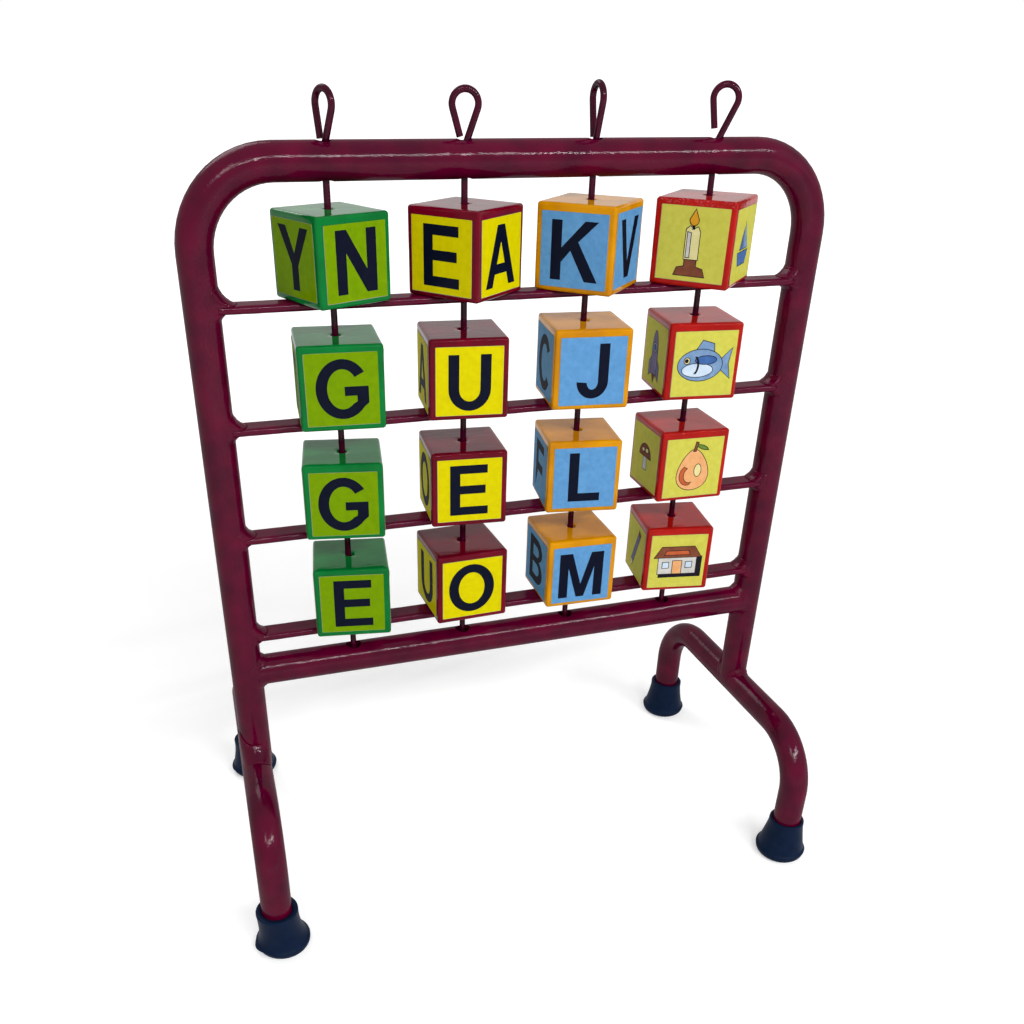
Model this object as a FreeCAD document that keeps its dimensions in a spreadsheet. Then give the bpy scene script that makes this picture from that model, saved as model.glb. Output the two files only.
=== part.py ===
import FreeCAD, Part
import math
import os
import Sketcher

# Turning letter block game: a bent steel tube stand carries sixteen wooden cubes on four wire rods.
# A cube rests on its flat crossbar and turns on its rod, and a rod pulls out upwards by its loop.
# Origin on the floor in the middle of the four ferrules' footprint. X runs along the rows of cubes, -Y
# to the player and Z up. The left foot is welded on off its middle, a little outwards and out of square,
# so the frame's own middle isn't quite the footprint's.

doc = FreeCAD.newDocument("letter_block_stand")
sheet = doc.addObject("Spreadsheet::Sheet", "sizes")

ROWS = range(1, 5)
COLUMNS = range(1, 5)

DIMENSIONS = (
    ("tube_outer_dia", 21.3, "steel tube of the stand, outside"),
    ("tube_wall", 2.6, "steel tube of the stand, wall"),
    ("frame_bend_radius", 47.0, "top corners of the frame, on the tube's centre line"),
    ("cope_land", 3.0, "flat left at the tip of a coped tube end, from the other tube's axis"),
    ("side_gap", 29.5, "from a turning outer cube to the upright beside it"),
    ("head_gap", 12.55, "from the cubes of the top row to the tube above them"),
    ("row_gap", 16.5, "from a cube's top to the crossbar above it"),
    ("rail_gap", 15.3, "from the bottom rail to the crossbar above it"),
    ("column_gap", 9.1, "between the circles that two neighbouring cubes turn in"),
    ("rail_height", 177.35, "axis of the bottom rail above the floor"),
    ("foot_height", 101.0, "axis of a foot's level run above the floor"),
    ("foot_track", 211.0, "between the two legs of a foot"),
    ("left_foot_offset", 19.5, "middle of the left foot behind the upright that it is welded to"),
    ("left_foot_shift", 1.3, "axis of the left foot outside the upright's, at their joint"),
    ("left_foot_turn", -1.75, "left foot out of square, in degrees anticlockwise seen from above"),
    ("foot_bend_radius", 42.0, "bends of a foot, on the tube's centre line"),
    ("bar_width", 16.0, "flat crossbar, front to back"),
    ("bar_thickness", 5.0, "flat crossbar, thickness"),
    ("bar_edge_radius", 1.0, "flat crossbar, rolled edges"),
    ("cube_size", 51.0, "wooden cube with its enamel"),
    ("cube_edge_radius", 1.8, "rounding of a cube's edges"),
    ("cube_bore_clearance", 2.5, "bore of a cube over the rod, on the diameter"),
    ("sticker_margin", 3.75, "enamel left bare round a sticker"),
    ("sticker_thickness", 0.2, "card of a sticker"),
    ("rod_dia", 4.0, "steel wire of a rod"),
    ("rod_seat_gap", 0.2, "under a rod's end, inside the bottom rail"),
    ("top_hole_clearance", 5.2, "rod holes of the top run over the rod, on the diameter"),
    ("bar_hole_clearance", 2.7, "rod holes of a crossbar over the rod, on the diameter"),
    ("rail_hole_clearance", 6.75, "rod holes of the bottom rail over the rod, on the diameter"),
    ("loop_radius", 7.5, "round of a loop, on the wire's centre line"),
    ("loop_neck_radius", 10.0, "bend where the wire leans out into its loop"),
    ("loop_neck_depth", 6.5, "start of that bend below the top of the top run"),
    ("joint_weld_throat", 2.2, "bead where two tubes meet"),
    ("bar_weld_run", 6.0, "fillet of weld at a crossbar's end, along the bar"),
    ("bar_weld_rise", 9.0, "the same fillet, up the upright"),
    ("bar_weld_drop", 4.0, "fillet of weld under a crossbar's end, along and down"),
    ("bar_weld_hollow", 10.0, "radius of the hollow face of those fillets"),
    ("bar_weld_width", 12.0, "fillets of weld at a crossbar's end, front to back"),
    ("ferrule_height", 33.0, "rubber ferrule, overall"),
    ("ferrule_floor", 4.0, "rubber under the end of the leg"),
    ("ferrule_collar_wall", 4.75, "wall of the ferrule's collar at its mouth"),
    ("ferrule_collar_taper", 0.8, "collar wider at its foot than at its mouth, on the radius"),
    ("ferrule_rim_radius", 0.9, "rounding of the collar's mouth"),
    ("ferrule_flange_step", 2.7, "flange beyond the collar's foot, all of it rounded over"),
    ("ferrule_flange_height", 0.7, "upright edge of the flange"),
    ("ferrule_heel_radius", 5.0, "rounding from the flange to the tread"),
)

# Degrees that each cube stands turned, anticlockwise seen from above, row by row from the top.
CUBE_TURNS = (
    (23.4, -50.8, -44.1, -45.1),
    (-5.3, -6.3, -8.0, -8.1),
    (-10.2, -5.2, -9.3, -2.3),
    (-9.5, 2.1, -2.0, -10.0),
)

# Rods were bent by hand, so each has its own values, left to right. The last loop was left open.
ROD_VALUES = (
    ("turn", "rod turned in its holes, in degrees", (-64.0, -14.0, -89.0, -28.0)),
    ("rise", "top of the rod's loop above the top run", (27.0, 27.1, 30.4, 30.5)),
    ("shift", "middle of the loop beside the rod's axis", (1.5, 0.2, 0.6, 3.0)),
    ("end_shift", "wire's end beside the rod's axis", (-3.2, -2.7, -2.7, -1.9)),
    ("lift", "wire's end above the tube under it", (0.6, 0.9, 0.6, 4.6)),
)


def write_cell(row, alias, value, meaning):
    """One line of the sheet: the name, the plain number under that name, and what it is."""
    sheet.set("A%d" % row, alias)
    sheet.set("B%d" % row, str(value))
    sheet.set("C%d" % row, meaning)
    sheet.setAlias("B%d" % row, alias)


for position, (alias, value, meaning) in enumerate(DIMENSIONS):
    write_cell(position + 1, alias, value, meaning)

next_row = len(DIMENSIONS) + 1
for row in ROWS:
    for column in COLUMNS:
        alias = "turn_row%d_column%d" % (row, column)
        write_cell(next_row, alias, CUBE_TURNS[row - 1][column - 1], "cube turned on its rod")
        next_row += 1
for name, meaning, values in ROD_VALUES:
    for column in COLUMNS:
        write_cell(next_row, "%s_rod%d" % (name, column), values[column - 1], meaning)
        next_row += 1
doc.recompute()

# Sizes that follow from the driving ones, as expressions on the sheet.
TUBE_RADIUS = "(sizes.tube_outer_dia / 2)"
TUBE_BORE_RADIUS = "(sizes.tube_outer_dia / 2 - sizes.tube_wall)"
COLUMN_PITCH = "(sizes.cube_size * sqrt(2) + sizes.column_gap)"
ROW_PITCH = "(sizes.cube_size + sizes.row_gap + sizes.bar_thickness)"
UPRIGHT_SPACING = ("(3 * %s + sizes.cube_size * sqrt(2) + 2 * sizes.side_gap + sizes.tube_outer_dia)"
                   % COLUMN_PITCH)
BAR_TOP_LOWEST = "(sizes.rail_height + %s + sizes.rail_gap + sizes.bar_thickness)" % TUBE_RADIUS
BAR_TOP_HIGHEST = "(%s + 3 * %s)" % (BAR_TOP_LOWEST, ROW_PITCH)
TOP_RUN_HEIGHT = "(%s + sizes.cube_size + sizes.head_gap + %s)" % (BAR_TOP_HIGHEST, TUBE_RADIUS)
FRAME_MIDDLE = ("((sizes.left_foot_shift - (sizes.foot_track / 2 - sizes.left_foot_offset)"
                " * sin(sizes.left_foot_turn)) / 2)")
FRAME_PLANE = ("((sizes.foot_track / 2 - (sizes.foot_track / 2 + sizes.left_foot_offset)"
               " * cos(sizes.left_foot_turn)) / 2)")
ROD_RADIUS = "(sizes.rod_dia / 2)"
ROD_FOOT = ("(sizes.rail_height - sqrt(%s ^ 2 - %s ^ 2) + sizes.rod_seat_gap)"
            % (TUBE_BORE_RADIUS, ROD_RADIUS))


def column_place(column):
    """Place of a column's rod along X."""
    return "(%.1f * %s)" % (column - 2.5, COLUMN_PITCH)


def bar_top(row):
    """Height of the top face of a row's crossbar."""
    return "(%s + %d * %s)" % (BAR_TOP_LOWEST, 4 - row, ROW_PITCH)


def number(expression):
    """The value that an expression on the sheet has now."""
    result = doc.getObject("sizes").evalExpression(expression.replace("sizes.", ""))
    return float(getattr(result, "Value", result))


def new_body(label):
    body = doc.addObject("PartDesign::Body", label)
    body.Label = label
    return body


def origin_item(body, role):
    """One of the body's own origin planes or axes."""
    return [item for item in body.Origin.OriginFeatures if item.Role == role][0]


def new_sketch(body, name, plane, lift="0"):
    """A sketch on one of the body's own origin planes, lifted off it along the plane's normal."""
    sketch = body.newObject("Sketcher::SketchObject", body.Name + "_" + name)
    sketch.AttachmentSupport = (origin_item(body, plane), "")
    sketch.MapMode = "FlatFace"
    sketch.setExpression("AttachmentOffset.Base.z", lift)
    return sketch


def bind(sketch, kind, references, expression):
    """Adds a constraint whose size is an expression on the sheet."""
    index = sketch.addConstraint(Sketcher.Constraint(kind, *references, number(expression)))
    sketch.setExpression("Constraints[%d]" % index, expression)


def pin(sketch, geometry, point, across, up):
    """Holds a point of the sketch at a place measured from the sketch's origin."""
    bind(sketch, "DistanceX", (-1, 1, geometry, point), across)
    bind(sketch, "DistanceY", (-1, 1, geometry, point), up)


def draw_circle(sketch, across, up, radius):
    centre = FreeCAD.Vector(number(across), number(up), 0)
    circle = sketch.addGeometry(Part.Circle(centre, FreeCAD.Vector(0, 0, 1), number(radius)))
    pin(sketch, circle, 3, across, up)
    bind(sketch, "Radius", (circle,), radius)


def draw_outline(sketch, corners, arcs=()):
    """A closed outline through corners, with a circular arc instead of a line where arcs names one.

    arcs holds (number of the side, radius, +1 for an arc that runs anticlockwise or -1)."""
    points = [FreeCAD.Vector(number(across), number(up), 0) for across, up in corners]
    radius_of = {side: (radius, sense) for side, radius, sense in arcs}
    for side, (across, up) in enumerate(corners):
        start = points[side]
        finish = points[(side + 1) % len(points)]
        next_across, next_up = corners[(side + 1) % len(corners)]
        if side in radius_of:
            radius, sense = radius_of[side]
            chord = finish - start
            bulge = number(radius) - (number(radius) ** 2 - chord.Length ** 2 / 4) ** 0.5
            aside = FreeCAD.Vector(chord.y, -chord.x, 0) * (sense * bulge / chord.Length)
            arc = Part.Arc(start, (start + finish) * 0.5 + aside, finish)
            edge = sketch.addGeometry(arc)
            first, second = (1, 2) if sense > 0 else (2, 1)
            bind(sketch, "Radius", (edge,), radius)
        else:
            edge = sketch.addGeometry(Part.LineSegment(start, finish))
            first, second = (1, 2)
        pin(sketch, edge, first, across, up)
        pin(sketch, edge, second, next_across, next_up)


def add_feature(body, kind, name, profile):
    feature = body.newObject("PartDesign::" + kind, body.Name + "_" + name)
    feature.Profile = profile
    return feature


def pad_both_ways(body, name, profile, length):
    """Material on both sides of the sketch's plane, half of the length on each."""
    pad = add_feature(body, "Pad", name, profile)
    pad.SideType = "Symmetric"
    pad.setExpression("Length", length)
    doc.recompute()
    return pad


def pad_forward(body, name, profile, length):
    pad = add_feature(body, "Pad", name, profile)
    pad.setExpression("Length", length)
    doc.recompute()
    return pad


def cut(body, name, profile, upward_only=False):
    """Cuts right through along the sketch's normal, or only on its upper side, and checks it."""
    before = body.Shape.Volume
    pocket = add_feature(body, "Pocket", name, profile)
    pocket.Type = "ThroughAll"
    if upward_only:
        pocket.Reversed = True
    else:
        pocket.SideType = "Symmetric"
    doc.recompute()
    if not body.Shape.Volume < before:
        raise RuntimeError(pocket.Name + " cuts nothing")
    return pocket


def place(body, across, depth, height):
    """Places a piece: across is measured from the middle between the uprights."""
    body.setExpression("Placement.Base.x", "(%s + %s)" % (FRAME_MIDDLE, across))
    body.setExpression("Placement.Base.y", depth)
    body.setExpression("Placement.Base.z", height)


def turn(body, degrees):
    body.Placement.Rotation = FreeCAD.Rotation(FreeCAD.Vector(0, 0, 1), number(degrees))
    body.setExpression("Placement.Rotation.Angle", degrees)


def draw_tube_ring(sketch, across, up, outer=TUBE_RADIUS, inner=TUBE_BORE_RADIUS):
    draw_circle(sketch, across, up, outer)
    draw_circle(sketch, across, up, inner)


def draw_rod_holes(sketch, clearance):
    for column in COLUMNS:
        draw_circle(sketch, column_place(column), "0", "((sizes.rod_dia + %s) / 2)" % clearance)


def bent_tube(label, plane, spacing, bottom, top, bend):
    """A steel tube bent to an arch: two legs, a level run and a bend at each shoulder."""
    body = new_body(label)
    path = new_sketch(body, "path", plane)
    half = "(%s / 2)" % spacing
    side = number(half)
    low = number(bottom)
    high = number(top)
    radius = number(bend)
    slack = radius * (1 - 0.5 ** 0.5)
    left_top = FreeCAD.Vector(-side, high - radius, 0)
    run_left = FreeCAD.Vector(radius - side, high, 0)
    run_right = FreeCAD.Vector(side - radius, high, 0)
    right_top = FreeCAD.Vector(side, high - radius, 0)
    path.addGeometry([
        Part.LineSegment(FreeCAD.Vector(-side, low, 0), left_top),
        Part.Arc(left_top, FreeCAD.Vector(slack - side, high - slack, 0), run_left),
        Part.LineSegment(run_left, run_right),
        Part.Arc(run_right, FreeCAD.Vector(side - slack, high - slack, 0), right_top),
        Part.LineSegment(right_top, FreeCAD.Vector(side, low, 0)),
    ])
    pin(path, 0, 1, "(-%s)" % half, bottom)
    pin(path, 4, 2, half, bottom)
    path.addConstraint([
        Sketcher.Constraint("Vertical", 0),
        Sketcher.Constraint("Horizontal", 2),
        Sketcher.Constraint("Vertical", 4),
        Sketcher.Constraint("Tangent", 0, 2, 1, 2),
        Sketcher.Constraint("Tangent", 1, 1, 2, 1),
        Sketcher.Constraint("Tangent", 2, 2, 3, 2),
        Sketcher.Constraint("Tangent", 3, 1, 4, 1),
    ])
    bind(path, "DistanceY", (-1, 1, 2, 1), top)
    bind(path, "Radius", (1,), bend)
    bind(path, "Radius", (3,), bend)
    section = new_sketch(body, "section", "XY_Plane", bottom)
    if plane == "XZ_Plane":
        draw_tube_ring(section, "(-%s)" % half, "0")
    else:
        draw_tube_ring(section, "0", "(-%s)" % half)
    doc.recompute()
    pipe = add_feature(body, "AdditivePipe", "bent", section)
    pipe.Spine = (path, ["Edge%d" % edge for edge in range(1, 6)])
    doc.recompute()
    return body


def cope_to_uprights(body):
    """Cuts the ends of a cross member to the round of the two uprights."""
    mouth = new_sketch(body, "cope", "XY_Plane")
    for sign in ("-", ""):
        draw_circle(mouth, "(%s%s / 2)" % (sign, UPRIGHT_SPACING), "0", TUBE_RADIUS)
    cut(body, "coped", mouth)


def foot_axis(side):
    """Where a foot's axis meets a sketch that faces along that foot."""
    if side == "":
        return "(%s / 2)" % UPRIGHT_SPACING
    return "(-(%s / 2 + sizes.left_foot_shift) * cos(sizes.left_foot_turn))" % UPRIGHT_SPACING


def facing_foot(body, name, side):
    """A sketch that faces along a foot, so it is turned as the left foot is."""
    if side == "":
        return new_sketch(body, name + "_right", "XZ_Plane")
    sketch = new_sketch(body, name + "_left", "XZ_Plane")
    sketch.AttachmentOffset = FreeCAD.Placement(
        FreeCAD.Vector(0, 0, 0),
        FreeCAD.Rotation(FreeCAD.Vector(0, 1, 0), number("sizes.left_foot_turn")))
    sketch.setExpression("AttachmentOffset.Rotation.Angle", "sizes.left_foot_turn")
    return sketch


def cope_to_feet(body, height):
    """Cuts what stands on the two feet to the round of their tubes."""
    for side in ("-", ""):
        mouth = facing_foot(body, "cope", side)
        draw_circle(mouth, foot_axis(side), height, TUBE_RADIUS)
        cut(body, "coped_left" if side == "-" else "coped_right", mouth)


def top_frame():
    """One tube bent to an arch, drilled for the rods and coped onto the two feet."""
    lowest = "(sizes.foot_height + sizes.cope_land)"
    body = bent_tube("main_frame", "XZ_Plane", UPRIGHT_SPACING, lowest, TOP_RUN_HEIGHT,
                     "sizes.frame_bend_radius")
    cope_to_feet(body, "sizes.foot_height")
    holes = new_sketch(body, "rod_holes", "XY_Plane")
    draw_rod_holes(holes, "sizes.top_hole_clearance")
    cut(body, "drilled", holes)
    place(body, "0", FRAME_PLANE, "0")
    return body


def foot_point(side, along="0"):
    """Place on a foot's axis, so far along it from the foot's own middle towards the back."""
    if side == "":
        return "(%s / 2)" % UPRIGHT_SPACING, "(%s + %s)" % (FRAME_PLANE, along)
    reach = "(sizes.left_foot_offset + %s)" % along
    across = ("(-%s / 2 - sizes.left_foot_shift - %s * sin(sizes.left_foot_turn))"
              % (UPRIGHT_SPACING, reach))
    return across, "(%s + %s * cos(sizes.left_foot_turn))" % (FRAME_PLANE, reach)


def foot(label, side):
    """A short tube bent down at both ends, level under an upright."""
    body = bent_tube(label, "YZ_Plane", "sizes.foot_track", "sizes.ferrule_floor",
                     "sizes.foot_height", "sizes.foot_bend_radius")
    across, depth = foot_point(side)
    place(body, across, depth, "0")
    if side == "-":
        turn(body, "sizes.left_foot_turn")
    return body


def bottom_rail():
    """Level tube between the uprights. Only its top wall is drilled, so it holds the rods up."""
    body = new_body("bottom_rail")
    section = new_sketch(body, "section", "YZ_Plane")
    draw_tube_ring(section, "0", "0")
    pad_both_ways(body, "tube", section, "(%s - 2 * sizes.cope_land)" % UPRIGHT_SPACING)
    cope_to_uprights(body)
    holes = new_sketch(body, "rod_holes", "XY_Plane")
    draw_rod_holes(holes, "sizes.rail_hole_clearance")
    cut(body, "drilled", holes, upward_only=True)
    place(body, "0", FRAME_PLANE, "sizes.rail_height")
    return body


def crossbar(row):
    """Flat bar between the uprights, with rolled edges, that a row of cubes rests on."""
    body = new_body("crossbar_%d" % row)
    section = new_sketch(body, "section", "YZ_Plane")
    half = "(sizes.bar_width / 2)"
    edge = "sizes.bar_edge_radius"
    inner = "(%s - %s)" % (half, edge)
    below = "(-sizes.bar_thickness)"
    lower = "(%s - sizes.bar_thickness)" % edge
    draw_outline(section, (
        ("(-%s)" % inner, below), (inner, below), (half, lower), (half, "(-%s)" % edge),
        (inner, "0"), ("(-%s)" % inner, "0"), ("(-%s)" % half, "(-%s)" % edge),
        ("(-%s)" % half, lower),
    ), ((1, edge, 1), (3, edge, 1), (5, edge, 1), (7, edge, 1)))
    pad_both_ways(body, "bar", section, "(%s - 2 * sizes.cope_land)" % UPRIGHT_SPACING)
    cope_to_uprights(body)
    holes = new_sketch(body, "rod_holes", "XY_Plane")
    draw_rod_holes(holes, "sizes.bar_hole_clearance")
    cut(body, "drilled", holes)
    place(body, "0", FRAME_PLANE, bar_top(row))
    return body


def crossbar_welds():
    """Fillets of weld above and below each end of each crossbar, against the uprights."""
    body = new_body("crossbar_welds")
    axis = "(-%s / 2)" % UPRIGHT_SPACING
    face = "(%s + %s)" % (axis, TUBE_RADIUS)
    above = BAR_TOP_LOWEST
    below = "(%s - sizes.bar_thickness)" % BAR_TOP_LOWEST
    peak = "(%s + sizes.bar_weld_rise)" % above
    trough = "(%s - sizes.bar_weld_drop)" % below
    fillets = new_sketch(body, "fillets", "XZ_Plane")
    draw_outline(fillets, (
        (axis, above), ("(%s + sizes.bar_weld_run)" % face, above), (face, peak), (axis, peak),
    ), ((1, "sizes.bar_weld_hollow", -1),))
    draw_outline(fillets, (
        (axis, below), (axis, trough), (face, trough), ("(%s + sizes.bar_weld_drop)" % face, below),
    ), ((2, "sizes.bar_weld_hollow", -1),))
    laid = pad_both_ways(body, "laid", fillets, "sizes.bar_weld_width")
    mouth = new_sketch(body, "cope", "XY_Plane")
    draw_circle(mouth, axis, "0", TUBE_RADIUS)
    coped = cut(body, "coped", mouth)

    rows = body.newObject("PartDesign::LinearPattern", "crossbar_welds_rows")
    rows.Direction = (origin_item(body, "Z_Axis"), [""])
    rows.setExpression("Length", "3 * " + ROW_PITCH)
    rows.Occurrences = len(ROWS)
    far_end = body.newObject("PartDesign::Mirrored", "crossbar_welds_far_end")
    far_end.MirrorPlane = (origin_item(body, "YZ_Plane"), [""])
    repeated = body.newObject("PartDesign::MultiTransform", "crossbar_welds_repeated")
    repeated.Originals = [laid, coped]
    repeated.Transformations = [rows, far_end]
    body.Tip = repeated
    place(body, "0", FRAME_PLANE, "0")
    return body


def keep_inside(sketch, axes, radius):
    """Outline of everything round a row of tube axes that lies outside their circles."""
    first = "(%s - 2 * %s)" % (axes[0], radius)
    last = "(%s + 2 * %s)" % (axes[-1], radius)
    above = "(2 * %s)" % radius
    below = "(-2 * %s)" % radius
    draw_outline(sketch, ((first, below), (last, below), (last, above), (first, above)))
    for axis in axes:
        draw_circle(sketch, axis, "0", radius)


BEAD_RADIUS = "(%s + sizes.joint_weld_throat)" % TUBE_RADIUS


def rail_end_welds():
    """Beads that follow the saddle seams between the bottom rail and the uprights."""
    body = new_body("rail_end_welds")
    sleeve = new_sketch(body, "sleeve", "YZ_Plane")
    draw_tube_ring(sleeve, "0", "0", BEAD_RADIUS, TUBE_RADIUS)
    pad_both_ways(body, "sleeved", sleeve, UPRIGHT_SPACING)
    outside = new_sketch(body, "outside", "XY_Plane")
    keep_inside(outside, ["(%s%s / 2)" % (sign, UPRIGHT_SPACING) for sign in ("-", "")], BEAD_RADIUS)
    cut(body, "trimmed", outside)
    cope_to_uprights(body)
    place(body, "0", FRAME_PLANE, "sizes.rail_height")
    return body


def foot_joint_welds():
    """Beads that follow the saddle seams between the uprights and the feet."""
    body = new_body("foot_joint_welds")
    sleeve = new_sketch(body, "sleeve", "XY_Plane")
    for sign in ("-", ""):
        draw_tube_ring(sleeve, "(%s%s / 2)" % (sign, UPRIGHT_SPACING), "0", BEAD_RADIUS, TUBE_RADIUS)
    pad_forward(body, "sleeved", sleeve, "(2 * %s)" % BEAD_RADIUS)
    for side in ("-", ""):
        outside = facing_foot(body, "outside", side)
        keep_inside(outside, [foot_axis(side)], BEAD_RADIUS)
        cut(body, "trimmed_left" if side == "-" else "trimmed_right", outside)
    cope_to_feet(body, "0")
    place(body, "0", FRAME_PLANE, "sizes.foot_height")
    return body


def ferrule(label, side, end):
    """Rubber ferrule pushed over the end of a leg: a tapered collar, a low flange and a round heel."""
    body = new_body(label)
    profile = new_sketch(body, "profile", "XZ_Plane")
    mouth = "(%s + sizes.ferrule_collar_wall)" % TUBE_RADIUS
    waist = "(%s + sizes.ferrule_collar_taper)" % mouth
    flange = "(%s + sizes.ferrule_flange_step)" % waist
    tread = "(%s - sizes.ferrule_heel_radius)" % flange
    brim = "(sizes.ferrule_heel_radius + sizes.ferrule_flange_height)"
    shoulder = "(sizes.ferrule_height - sizes.ferrule_rim_radius)"
    draw_outline(profile, (
        ("0", "0"), (tread, "0"), (flange, "sizes.ferrule_heel_radius"), (flange, brim),
        (waist, "(%s + sizes.ferrule_flange_step)" % brim), (mouth, shoulder),
        ("(%s - sizes.ferrule_rim_radius)" % mouth, "sizes.ferrule_height"),
        (TUBE_RADIUS, "sizes.ferrule_height"), (TUBE_RADIUS, "sizes.ferrule_floor"),
        ("0", "sizes.ferrule_floor"),
    ), ((1, "sizes.ferrule_heel_radius", 1), (3, "sizes.ferrule_flange_step", 1),
        (5, "sizes.ferrule_rim_radius", 1)))
    solid = add_feature(body, "Revolution", "moulded", profile)
    solid.ReferenceAxis = (profile, ["V_Axis"])
    solid.Angle = 360
    across, depth = foot_point(side, "(%ssizes.foot_track / 2)" % end)
    place(body, across, depth, "0")
    return body


def rod(column):
    """Steel wire pushed down through a column of cubes, bent over at its top into a loop handle."""
    body = new_body("rod_%d" % column)
    path = new_sketch(body, "path", "XZ_Plane")
    turned = "sizes.turn_rod%d" % column
    rise = "sizes.rise_rod%d" % column
    shift = "sizes.shift_rod%d" % column
    end_shift = "sizes.end_shift_rod%d" % column
    tube_top = "(%s + %s)" % (TOP_RUN_HEIGHT, TUBE_RADIUS)
    neck = "(%s - sizes.loop_neck_depth)" % tube_top
    middle = "(%s + %s - %s - sizes.loop_radius)" % (tube_top, rise, ROD_RADIUS)
    end_height = ("(%s + sqrt(%s ^ 2 - (%s * sin(%s)) ^ 2) + sizes.lift_rod%d)"
                  % (TOP_RUN_HEIGHT, TUBE_RADIUS, end_shift, turned, column))

    bend = number("sizes.loop_neck_radius")
    round_radius = number("sizes.loop_radius")
    centre = FreeCAD.Vector(number(shift), number(middle), 0)
    bend_centre = FreeCAD.Vector(bend, number(neck), 0)
    between = centre - bend_centre
    lean = (math.atan2(between.y, -between.x)
            - math.acos((bend + round_radius) / between.Length))
    outward = FreeCAD.Vector(-math.cos(lean), math.sin(lean), 0)
    neck_start = FreeCAD.Vector(0, number(neck), 0)
    neck_middle = bend_centre + FreeCAD.Vector(-math.cos(lean / 2), math.sin(lean / 2), 0) * bend
    neck_end = bend_centre + outward * bend
    round_start = centre - outward * round_radius
    wire_end = FreeCAD.Vector(number(end_shift), number(end_height), 0)
    back = wire_end - centre
    swing = math.acos(min(1.0, round_radius / back.Length))
    leave = math.atan2(back.y, back.x) - swing
    round_end = centre + FreeCAD.Vector(math.cos(leave), math.sin(leave), 0) * round_radius
    path.addGeometry([
        Part.LineSegment(FreeCAD.Vector(0, number(ROD_FOOT), 0), neck_start),
        Part.Arc(neck_start, neck_middle, neck_end),
        Part.LineSegment(neck_end, round_start),
        Part.Arc(round_start, centre + FreeCAD.Vector(0, round_radius, 0), round_end),
        Part.LineSegment(round_end, wire_end),
    ])
    pin(path, 0, 1, "0", ROD_FOOT)
    pin(path, 0, 2, "0", neck)
    path.addConstraint([
        Sketcher.Constraint("Tangent", 0, 2, 1, 2),
        Sketcher.Constraint("Tangent", 1, 1, 2, 1),
        Sketcher.Constraint("Tangent", 2, 2, 3, 1),
        Sketcher.Constraint("Tangent", 3, 2, 4, 1),
    ])
    bind(path, "Radius", (1,), "sizes.loop_neck_radius")
    bind(path, "Radius", (3,), "sizes.loop_radius")
    pin(path, 3, 3, shift, middle)
    pin(path, 4, 2, end_shift, end_height)
    section = new_sketch(body, "section", "XY_Plane", ROD_FOOT)
    draw_circle(section, "0", "0", ROD_RADIUS)
    doc.recompute()
    wire = add_feature(body, "AdditivePipe", "wire", section)
    wire.Spine = (path, ["Edge%d" % edge for edge in range(1, 6)])
    place(body, column_place(column), FRAME_PLANE, "0")
    turn(body, turned)
    return body


def cube(row, column):
    """Wooden cube with eased edges, bored through from top to bottom for its rod."""
    body = new_body("cube_r%d_c%d" % (row, column))
    base = new_sketch(body, "base", "XY_Plane")
    half = "(sizes.cube_size / 2)"
    draw_outline(base, (
        ("(-%s)" % half, "(-%s)" % half), (half, "(-%s)" % half), (half, half),
        ("(-%s)" % half, half)))
    block = pad_forward(body, "block", base, "sizes.cube_size")
    eased = body.newObject("PartDesign::Fillet", body.Name + "_eased")
    eased.Base = (block, ["Edge1"])
    eased.UseAllEdges = True
    eased.setExpression("Radius", "sizes.cube_edge_radius")
    doc.recompute()
    bore = new_sketch(body, "bore", "XY_Plane")
    draw_circle(bore, "0", "0", "((sizes.rod_dia + sizes.cube_bore_clearance) / 2)")
    cut(body, "bored", bore)
    stand_in_row(body, row, column)
    return body


def stickers(row, column):
    """The four square card stickers on the sides of one cube."""
    body = new_body("stickers_r%d_c%d" % (row, column))
    card = new_sketch(body, "card", "XZ_Plane", "(sizes.cube_size / 2)")
    half = "(sizes.cube_size / 2 - sizes.sticker_margin)"
    low = "sizes.sticker_margin"
    high = "(sizes.cube_size - sizes.sticker_margin)"
    draw_outline(card, (("(-%s)" % half, low), (half, low), (half, high), ("(-%s)" % half, high)))
    first = pad_forward(body, "first", card, "sizes.sticker_thickness")
    around = body.newObject("PartDesign::PolarPattern", body.Name + "_around")
    around.Originals = [first]
    around.Axis = (origin_item(body, "Z_Axis"), [""])
    around.Angle = 360
    around.Occurrences = 4
    body.Tip = around
    stand_in_row(body, row, column)
    return body


def stand_in_row(body, row, column):
    """Stands a cube or its stickers on the crossbar, round the rod, turned as it was left."""
    place(body, column_place(column), FRAME_PLANE, bar_top(row))
    turn(body, "sizes.turn_row%d_column%d" % (row, column))


pieces = [top_frame(), foot("left_foot", "-"), foot("right_foot", ""), bottom_rail()]
pieces += [crossbar(row) for row in ROWS]
pieces += [crossbar_welds(), rail_end_welds(), foot_joint_welds()]
pieces += [
    ferrule("ferrule_front_left", "-", "-"),
    ferrule("ferrule_front_right", "", "-"),
    ferrule("ferrule_rear_left", "-", ""),
    ferrule("ferrule_rear_right", "", ""),
]
pieces += [rod(column) for column in COLUMNS]
for row in ROWS:
    for column in COLUMNS:
        pieces.append(cube(row, column))
        pieces.append(stickers(row, column))
doc.recompute()

for item in doc.Objects:
    if "Invalid" in item.State or "Error" in item.State:
        raise RuntimeError("%s failed: %s" % (item.Name, item.State))
for piece in pieces:
    if piece.Shape.isNull() or not piece.Shape.isValid() or not piece.Shape.Solids:
        raise RuntimeError(piece.Label + " has no valid solid")

os.makedirs("parts", exist_ok=True)
for piece in pieces:
    piece.Shape.exportStep("parts/" + piece.Label + ".step")

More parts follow.
